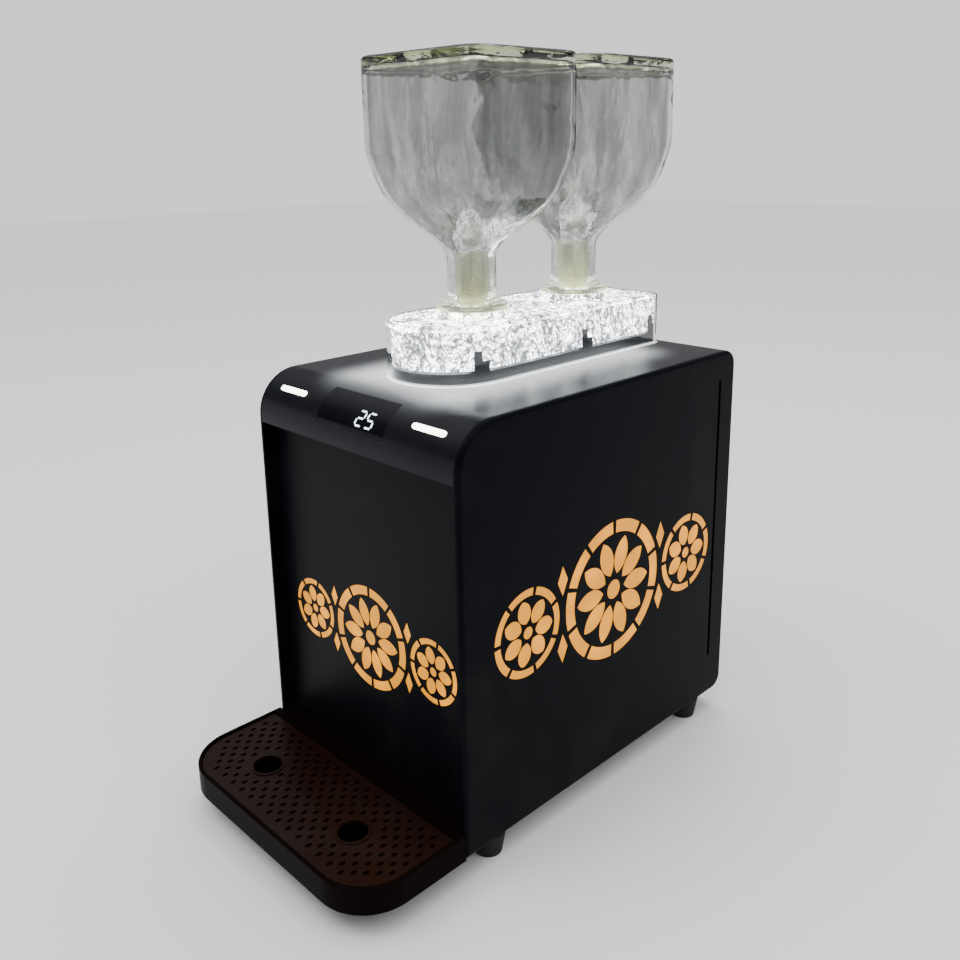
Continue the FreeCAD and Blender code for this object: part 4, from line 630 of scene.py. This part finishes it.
NODE_FINISHES: dict[str, Finish] = {
    "side_panel_left": BLACK_CASE, "side_panel_right": BLACK_CASE, "top_cover": BLACK_TOP,
    "front_panel": BLACK_FRONT, "rear_panel": BLACK_FRONT, "base_plate": BLACK_PAN,
    "foot_front_left": FOOT_RUBBER, "foot_front_right": FOOT_RUBBER,
    "foot_rear_left": FOOT_RUBBER, "foot_rear_right": FOOT_RUBBER,
    "foot_screws": STEEL, "rear_screws": DARK_SCREW,
    "drip_tray": TRAY_BLACK, "drip_grille": GRILLE_BLACK,
    "display_lens": SMOKED, "display_module": DARK_MOULDING, "button_board": BOARD,
    "tact_switches": DARK_MOULDING, "board_posts": ZINC,
    "dispense_key_left": KEY_LIGHT, "dispense_key_right": KEY_LIGHT,
    "block_base": BAND_BLACK, "block_light": LAMP_WHITE, "ice_insert": ICE, "block_cover": CLEAR,
    "bottle_front": GLASS, "bottle_rear": GLASS, "stopper_front": FROSTED, "stopper_rear": FROSTED,
    "bottle_socket_front": LIT_SEAT, "bottle_socket_rear": LIT_SEAT, "socket_seals": LIT_SEAT,
    "cold_block": ALUMINIUM, "foam_jacket": FOAM, "cooling_modules": CERAMIC, "heat_sink": ALUMINIUM,
    "cooler_stand": ZINC, "fan_frame": DARK_MOULDING, "fan_rotor": DARK_MOULDING, "pump_bracket": ZINC,
    "pump_left": GREY_MOULDING, "pump_right": GREY_MOULDING,
    "pump_rotor_left": WHITE_MOULDING, "pump_rotor_right": WHITE_MOULDING,
    "feed_tubes": SILICONE, "suction_tubes": SILICONE, "delivery_tubes": SILICONE,
    "nozzle_left": STEEL, "nozzle_right": STEEL, "power_supply": ZINC, "control_board": BOARD,
    "power_inlet": DARK_MOULDING, "power_switch_body": DARK_MOULDING, "power_rocker": GREY_MOULDING,
    "ornament_pane_left": AMBER, "ornament_pane_right": AMBER, "ornament_pane_front": AMBER,
    "side_light_boards": BOARD, "front_light_board": BOARD,
}


# Surfaces on a grid of two parameters


def placed(name: str, data: bpy.types.ID) -> bpy.types.Object:
    """Returns a new object in the scene that holds a mesh, a light or a camera."""
    piece = bpy.data.objects.new(name, data)
    bpy.context.scene.collection.objects.link(piece)
    return piece


def carried(name: str, rows: np.ndarray) -> bpy.types.Object:
    """Makes a closed outline carried along a path into a mesh.

    Row i, column j of the grid is the outline's point j at step i. Columns wrap round, and each
    end is closed by a fan about its middle.

    Args:
        name: The piece's name.
        rows: Points as (steps, points round the outline, 3), in metres.

    Returns:
        The new object, at the origin.
    """
    steps, around = rows.shape[:2]
    i, j = np.meshgrid(np.arange(steps - 1), np.arange(around), indexing="ij")
    here, there = i * around, (i + 1) * around
    beside = (j + 1) % around
    quads = np.stack([here + j, here + beside, there + beside, there + j], -1)
    points = np.vstack([rows.reshape(-1, 3), rows[0].mean(0), rows[-1].mean(0)])
    first, final = len(points) - 2, len(points) - 1
    ring = np.arange(around)
    after = (ring + 1) % around
    far = (steps - 1) * around
    faces = quads.reshape(-1, 4).tolist()
    faces += np.stack([after, ring, np.full(around, first)], -1).tolist()
    faces += np.stack([far + ring, far + after, np.full(around, final)], -1).tolist()
    mesh = bpy.data.meshes.new(name)
    mesh.from_pydata(points.tolist(), [], faces)
    mesh.shade_smooth()
    return placed(name, mesh)


CORNERS = ((1, 1), (-1, 1), (-1, -1), (1, -1))


def rounded_outline(
    half_x: np.ndarray, half_y: np.ndarray, corner: np.ndarray, per_side: int
) -> np.ndarray:
    """Returns rounded rectangles, one for each row of the given sizes.

    A point is its corner's centre plus the corner radius in the direction of an angle; between
    the corners the points run straight, evenly spaced.

    Args:
        half_x: Half widths, one for each row.
        half_y: Half depths.
        corner: Corner radii.
        per_side: Points on each corner and on each straight side.

    Returns:
        Points as (rows, 8 * per_side, 2), anticlockwise.
    """
    turn = np.linspace(0, math.pi / 2, per_side)
    run = np.linspace(0, 1, per_side + 1)[1:-1]
    pieces = []
    for quarter, (sx, sy) in enumerate(CORNERS):
        angle = turn + quarter * math.pi / 2
        centre = np.stack([sx * (half_x - corner), sy * (half_y - corner)], -1)[:, None, :]
        arc = centre + corner[:, None, None] * np.stack([np.cos(angle), np.sin(angle)], -1)[None]
        nx, ny = CORNERS[(quarter + 1) % 4]
        start = arc[:, -1:, :]
        after = (quarter + 1) * math.pi / 2
        goal_centre = np.stack([nx * (half_x - corner), ny * (half_y - corner)], -1)[:, None, :]
        way = np.array([math.cos(after), math.sin(after)])
        goal = goal_centre + corner[:, None, None] * way[None, None]
        pieces += [arc, start + (goal - start) * run[None, :, None]]
    return np.concatenate(pieces, 1)


def smooth_through(x: np.ndarray, y: np.ndarray, at: np.ndarray) -> np.ndarray:
    """Returns a smooth curve through points, worked out with cubic Hermite pieces.

    The slope at each point is the mean of the slopes on both sides, and zero at the ends.
    """
    slopes = np.diff(y) / np.diff(x)
    tangent = np.concatenate([[0.0], (slopes[1:] + slopes[:-1]) / 2, [0.0]])
    k = np.clip(np.searchsorted(x, at, side="right") - 1, 0, len(x) - 2)
    width = x[k + 1] - x[k]
    t = (at - x[k]) / width
    return (
        (2 * t**3 - 3 * t**2 + 1) * y[k] + (t**3 - 2 * t**2 + t) * width * tangent[k]
        + (3 * t**2 - 2 * t**3) * y[k + 1] + (t**3 - t**2) * width * tangent[k + 1]
    )


def dished(ring: np.ndarray, shares: np.ndarray, depth: float) -> np.ndarray:
    """Draws an outline in to its middle in steps while it sinks as a parabola.

    A step keeps a share of the outline's size and sinks by depth * (1 - share squared).

    Args:
        ring: The outline as (points, 3).
        shares: The share of the size that each step keeps.
        depth: How far the middle sinks.

    Returns:
        Points as (steps, points, 3).
    """
    middle = ring.mean(0)
    rows = middle + (ring[None] - middle) * shares[:, None, None]
    rows[:, :, 2] -= (depth * (1 - shares**2))[:, None]
    return rows


@dataclass
class Bottle:
    """A hollow square bottle standing on its lip, in one surface from inside to outside."""

    node: str
    body: str
    low: float = field(init=False)
    y: float = field(init=False)
    height: float = field(init=False)
    half_x: float = field(init=False)
    half_y: float = field(init=False)
    corner: float = 17 * MM
    neck: float = 17 * MM
    bore: float = 12.05 * MM
    lip: float = 25 * MM
    lip_edge: float = 3.6 * MM
    lip_height: float = 11 * MM
    wall: float = 4 * MM
    base: float = 6 * MM
    edge: float = 3.5 * MM
    inner_edge: float = 6.3 * MM
    punt: float = 2.2 * MM
    inner_punt: float = 1.6 * MM
    straight: float = 54 * MM
    neck_length: float = 34 * MM
    least_corner: float = 0.5 * MM
    roundest: float = 0.999
    shoulder: ClassVar[np.ndarray] = np.array([
        (0.0, 1.0), (0.10, 0.985), (0.26, 0.91), (0.46, 0.77), (0.62, 0.55),
        (0.75, 0.31), (0.84, 0.13), (0.92, 0.035), (1.0, 0.0),
    ])

    def __post_init__(self) -> None:
        """Takes the bottle's outer size and place from its solid."""
        low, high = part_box(self.node)
        self.low, self.height = low.z, high.z - low.z
        self.y = (low.y + high.y) / 2
        self.half_x, self.half_y = (high.x - low.x) / 2, (high.y - low.y) / 2

    def share(self, z: np.ndarray) -> np.ndarray:
        """Returns how much of the square body is left at each height over the lip."""
        top = self.height - self.straight
        along = np.clip((top - z) / (top - self.neck_length), 0, 1)
        return smooth_through(self.shoulder[:, 0], self.shoulder[:, 1], along)

    def levels(self, z: np.ndarray, inset: float, radius: float, draw: np.ndarray) -> np.ndarray:
        """Returns the outline at each height.

        Args:
            z: Heights over the lip.
            inset: How far the body's wall is drawn in.
            radius: The neck's radius.
            draw: An extra inset at each height, for rounded edges.

        Returns:
            Points as (heights, points round, 3).
        """
        s = self.share(z)
        x = (self.half_x - inset) * s + radius * (1 - s) - draw
        y = (self.half_y - inset) * s + radius * (1 - s) - draw
        corner = (self.corner - inset) * s + radius * self.roundest * (1 - s) - draw
        corner = np.minimum(corner, np.minimum(x, y) * self.roundest)
        flat = rounded_outline(x, y, np.maximum(corner, self.least_corner), per_side=9)
        height = np.broadcast_to(z[:, None, None], (*flat.shape[:2], 1))
        return np.concatenate([flat, height], -1) + np.array([0, self.y, self.low])

    def flare(self) -> tuple[np.ndarray, np.ndarray]:
        """Returns the lip's heights and how far each stands out from the neck, as negative insets.

        A short upright edge with rounded rims comes first, then a hollow curve up to the neck.
        """
        soft = 1 * MM
        quarter = np.linspace(-math.pi / 2, 0, 5)
        low_r, low_z = self.lip - soft + soft * np.cos(quarter), soft + soft * np.sin(quarter)
        high_r, high_z = low_r[::-1], self.lip_edge - low_z[::-1]
        start = np.array([high_r[-1], high_z[-1]])
        end = np.array([self.neck, self.lip_height])
        across = (end - start) / np.linalg.norm(end - start)
        half = np.linalg.norm(end - start) / 2
        aside = np.array([across[1], -across[0]])
        centre = (start + end) / 2 + aside * math.sqrt(self.lip_height**2 - half**2)
        first, last = (math.atan2(*(point - centre)[::-1]) for point in (start, end))
        sweep = np.linspace(first, last, 10)[1:]
        bell_r = centre[0] + self.lip_height * np.cos(sweep)
        bell_z = centre[1] + self.lip_height * np.sin(sweep)
        heights = np.concatenate([low_z, high_z, bell_z])
        return heights, self.neck - np.concatenate([low_r, high_r, bell_r])

    def outside(self) -> np.ndarray:
        """Returns the outer skin's outlines, from the lip to the middle of the base."""
        turn = np.linspace(0, math.pi / 2, 7)[1:]
        lip_z, lip_out = self.flare()
        rise = np.linspace(self.lip_height + 1 * MM, self.height - self.edge, 70)
        heel_z = self.height - self.edge + self.edge * np.sin(turn)
        heel_in = self.edge * (1 - np.cos(turn))
        draw = np.concatenate([lip_out, rise * 0, heel_in])
        rows = self.levels(np.concatenate([lip_z, rise, heel_z]), 0.0, self.neck, draw)
        cap = dished(rows[-1], np.array([0.9, 0.72, 0.5, 0.25, 0.02]), self.punt)
        return np.concatenate([rows, cap])

    def inside(self) -> np.ndarray:
        """Returns the inner skin's outlines, from the middle of the base down to the lip."""
        turn = np.linspace(0, math.pi / 2, 7)[::-1]
        spring = self.height - self.base - self.inner_edge
        fall = np.linspace(spring, 0.3 * MM, 60)[1:]
        heel_z = spring + self.inner_edge * np.sin(turn)
        draw = np.concatenate([self.inner_edge * (1 - np.cos(turn)), fall * 0])
        rows = self.levels(np.concatenate([heel_z, fall]), self.wall, self.bore, draw)
        cap = dished(rows[0], np.array([0.02, 0.25, 0.5, 0.75]), self.inner_punt)
        return np.concatenate([cap, rows])

    def build(self) -> bpy.types.Object:
        """Makes the glass, whose two skins meet at the lip."""
        glass = carried(f"{self.node}_glass", np.concatenate([self.inside(), self.outside()]))
        GLASS.dress(glass)
        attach(glass, self.body)
        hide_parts(self.node)
        return glass


@dataclass
class Digits:
    """Two plain seven-bar figures that glow on the curved lens."""

    text: str = "25"
    axis_y: float = -70 * MM
    axis_z: float = 265 * MM
    radius: float = 30.95 * MM
    middle_x: float = 13.1 * MM
    middle_angle: float = 35.0
    height: float = 10 * MM
    width: float = 6.4 * MM
    pitch: float = 9.6 * MM
    bar: float = 1.15 * MM
    gap_share: float = 0.95
    point_share: float = 0.9
    thick: float = 0.06 * MM
    slant: float = 0.1
    lit: ClassVar[dict[str, str]] = {"2": "abged", "5": "afgcd"}

    def ends(self, letter: str) -> tuple[np.ndarray, np.ndarray]:
        """Returns the two ends of a bar in the figure's own width and height."""
        w, h = self.width / 2, self.height / 2
        gap = self.bar * self.gap_share
        first, last = {
            "a": ((-w + gap, h), (w - gap, h)),
            "b": ((w, h - gap), (w, gap)),
            "c": ((w, -gap), (w, gap - h)),
            "d": ((-w + gap, -h), (w - gap, -h)),
            "e": ((-w, -gap), (-w, gap - h)),
            "f": ((-w, h - gap), (-w, gap)),
            "g": ((-w + gap, 0), (w - gap, 0)),
        }[letter]
        return np.array(first), np.array(last)

    def outline(self, letter: str) -> np.ndarray:
        """Returns a bar's outline, which has six corners and a point at both ends."""
        start, end = self.ends(letter)
        along = (end - start) / np.linalg.norm(end - start)
        across = np.array([-along[1], along[0]]) * self.bar / 2
        tip = along * self.bar / 2
        point, shoulder = tip * self.point_share, tip * (1 - self.point_share)
        near, far = start + shoulder, end - shoulder
        return np.array([
            start - point, near - across, far - across,
            end + point, far + across, near + across,
        ])

    def laid(self, flat: np.ndarray, number: int, level: float) -> np.ndarray:
        """Lays an outline round the lens.

        Args:
            flat: The outline in its figure's own width and height.
            number: Which figure it belongs to, from the left.
            level: Its distance from the bend's axis.

        Returns:
            Points as (corners, 3).
        """
        x = flat[:, 0] + flat[:, 1] * self.slant + self.middle_x
        x = x + (number - (len(self.text) - 1) / 2) * self.pitch
        angle = math.radians(self.middle_angle) + flat[:, 1] / self.radius
        y = self.axis_y - level * np.cos(angle)
        z = self.axis_z + level * np.sin(angle)
        return np.stack([x, y, z], -1)

    def build(self) -> bpy.types.Object:
        """Makes every lit bar a thin six-sided tile bent round the lens."""
        points: list[list[float]] = []
        faces: list[list[int]] = []
        for number, figure in enumerate(self.text):
            for letter in self.lit[figure]:
                flat = self.outline(letter)
                low = len(points)
                high = low + len(flat)
                points += self.laid(flat, number, self.radius).tolist()
                points += self.laid(flat, number, self.radius + self.thick).tolist()
                ring = range(len(flat))
                after = [(k + 1) % len(flat) for k in ring]
                faces.append([low + k for k in reversed(ring)])
                faces.append([high + k for k in ring])
                faces += [[low + k, low + after[k], high + after[k], high + k] for k in ring]
        mesh = bpy.data.meshes.new("display_digits")
        mesh.from_pydata(points, [], faces)
        piece = placed("display_digits", mesh)
        DIGIT_LIGHT.dress(piece)
        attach(piece, "case")
        return piece


# Studio: camera, floor and lights


@dataclass(frozen=True)
class Viewpoint:
    """Where the photograph was taken from."""

    place: Vector = Vector((0.48301, -0.45012, 0.44807))
    azimuth: float = math.radians(45.801)
    elevation: float = math.radians(14.477)
    roll: float = math.radians(-0.951)
    focal_px: float = 975.92
    middle_px: tuple[float, float] = (482.65, 395.24)
    frame_px: float = 960.0
    sensor_mm: float = 36.0
    clip: tuple[float, float] = (0.01, 50.0)

    def build(self) -> None:
        """Makes the camera from its direction, roll, focal length and shift."""
        data = bpy.data.cameras.new("camera")
        data.sensor_width = self.sensor_mm
        data.lens = self.focal_px / self.frame_px * self.sensor_mm
        data.shift_x = (self.frame_px / 2 - self.middle_px[0]) / self.frame_px
        data.shift_y = (self.middle_px[1] - self.frame_px / 2) / self.frame_px
        data.clip_start, data.clip_end = self.clip
        camera = placed("camera", data)
        a, e = self.azimuth, self.elevation
        back = Vector((math.sin(a) * math.cos(e), -math.cos(a) * math.cos(e), math.sin(e)))
        right = Vector((0, 0, 1)).cross(back).normalized()
        up = back.cross(right)
        c, s = math.cos(self.roll), math.sin(self.roll)
        turn = Matrix((right * c + up * s, up * c - right * s, back)).transposed()
        camera.matrix_world = Matrix.Translation(self.place) @ turn.to_4x4()
        bpy.context.scene.camera = camera


@dataclass(frozen=True)
class SoftLight:
    """A square soft box aimed at a point."""

    name: str
    place: tuple[float, float, float]
    aim: tuple[float, float, float]
    size: float
    power: float
    tint: tuple[float, float, float] = (1.0, 1.0, 1.0)

    def build(self) -> None:
        """Makes the light."""
        data = bpy.data.lights.new(self.name, "AREA")
        data.size = self.size
        data.energy = self.power
        data.color = self.tint
        lamp = placed(self.name, data)
        lamp.location = self.place
        lamp.rotation_mode = "QUATERNION"
        lamp.rotation_quaternion = (Vector(self.aim) - Vector(self.place)).to_track_quat("-Z", "Y")


class Studio:
    """A pale floor, a surround that is dark over the horizon, and three soft boxes."""

    lights = (
        SoftLight("key_box", (-0.7, -1.2, 2.1), (0, 0, 0.1), size=1.2, power=14),
        SoftLight("side_box", (1.9, 0.4, 1.5), (0, 0, 0.1), size=1.0, power=9),
        SoftLight("top_box", (-0.2, 0.9, 2.1), (0, 0.05, 0.1), size=1.0, power=12),
    )
    # The surround's light at each rise of a direction, from the horizon (0) to overhead (1)
    sky = ((0.0, 1.15), (0.13, 1.15), (0.21, 0.15), (0.48, 0.35), (1.0, 2.6))
    sky_tint: Colour = (0.97, 0.985, 1.0, 1.0)

    def build(self) -> None:
        """Makes the floor, the surround and the lights."""
        self.floor()
        self.surround()
        for light in self.lights:
            light.build()

    def floor(self) -> None:
        """Makes a wide floor a hair under the feet."""
        side, level = 6.0, -0.0003
        corners = [(x * side, y * side, level) for x, y in CORNERS]
        mesh = bpy.data.meshes.new("floor")
        mesh.from_pydata(corners, [], [(0, 1, 2, 3)])
        floor = placed("floor", mesh)
        g = Graph("pale_floor")
        g.shade(Base_Color=grey(0.82), Roughness=0.6)
        floor.data.materials.append(g.material)

    def surround(self) -> None:
        """Sets the light from all round: pale to just over the horizon, then dark, soft overhead."""
        world = bpy.data.worlds.new("surround")
        world.use_nodes = True
        tree = world.node_tree
        way = tree.nodes.new("ShaderNodeTexCoord")
        parts = tree.nodes.new("ShaderNodeSeparateXYZ")
        ramp = tree.nodes.new("ShaderNodeValToRGB")
        tree.links.new(way.outputs["Generated"], parts.inputs[0])
        tree.links.new(parts.outputs["Z"], ramp.inputs[0])
        tree.links.new(ramp.outputs["Color"], tree.nodes["Background"].inputs["Color"])
        stops = ramp.color_ramp.elements
        for number, (rise, level) in enumerate(self.sky):
            stop = stops[number] if number < len(stops) else stops.new(rise)
            stop.position = rise
            stop.color = dimmed(self.sky_tint, level)
        bpy.context.scene.world = world


class Dispenser:
    """The whole object: its solids' finishes and the pieces that replace some of them."""

    def dress_nodes(self) -> None:
        """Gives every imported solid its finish."""
        for name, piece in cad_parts.items():
            NODE_FINISHES[name].dress(piece)
        log.info("dressed %d nodes", len(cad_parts))

    def build(self) -> None:
        """Dresses the solids and makes the finer pieces."""
        self.dress_nodes()
        for row in ("front", "rear"):
            self.report(Bottle(f"bottle_{row}", f"bottle_{row}").build())
        self.report(Digits().build())

    def report(self, piece: bpy.types.Object) -> None:
        """Logs a piece's name and how many faces it has."""
        log.info("made %s with %d faces", piece.name, len(piece.data.polygons))


def main() -> None:
    """Builds the object, then the studio and the camera."""
    logging.basicConfig(level=logging.INFO, format="%(message)s")
    Dispenser().build()
    Studio().build()
    Viewpoint().build()


if __name__ == "__main__":
    main()
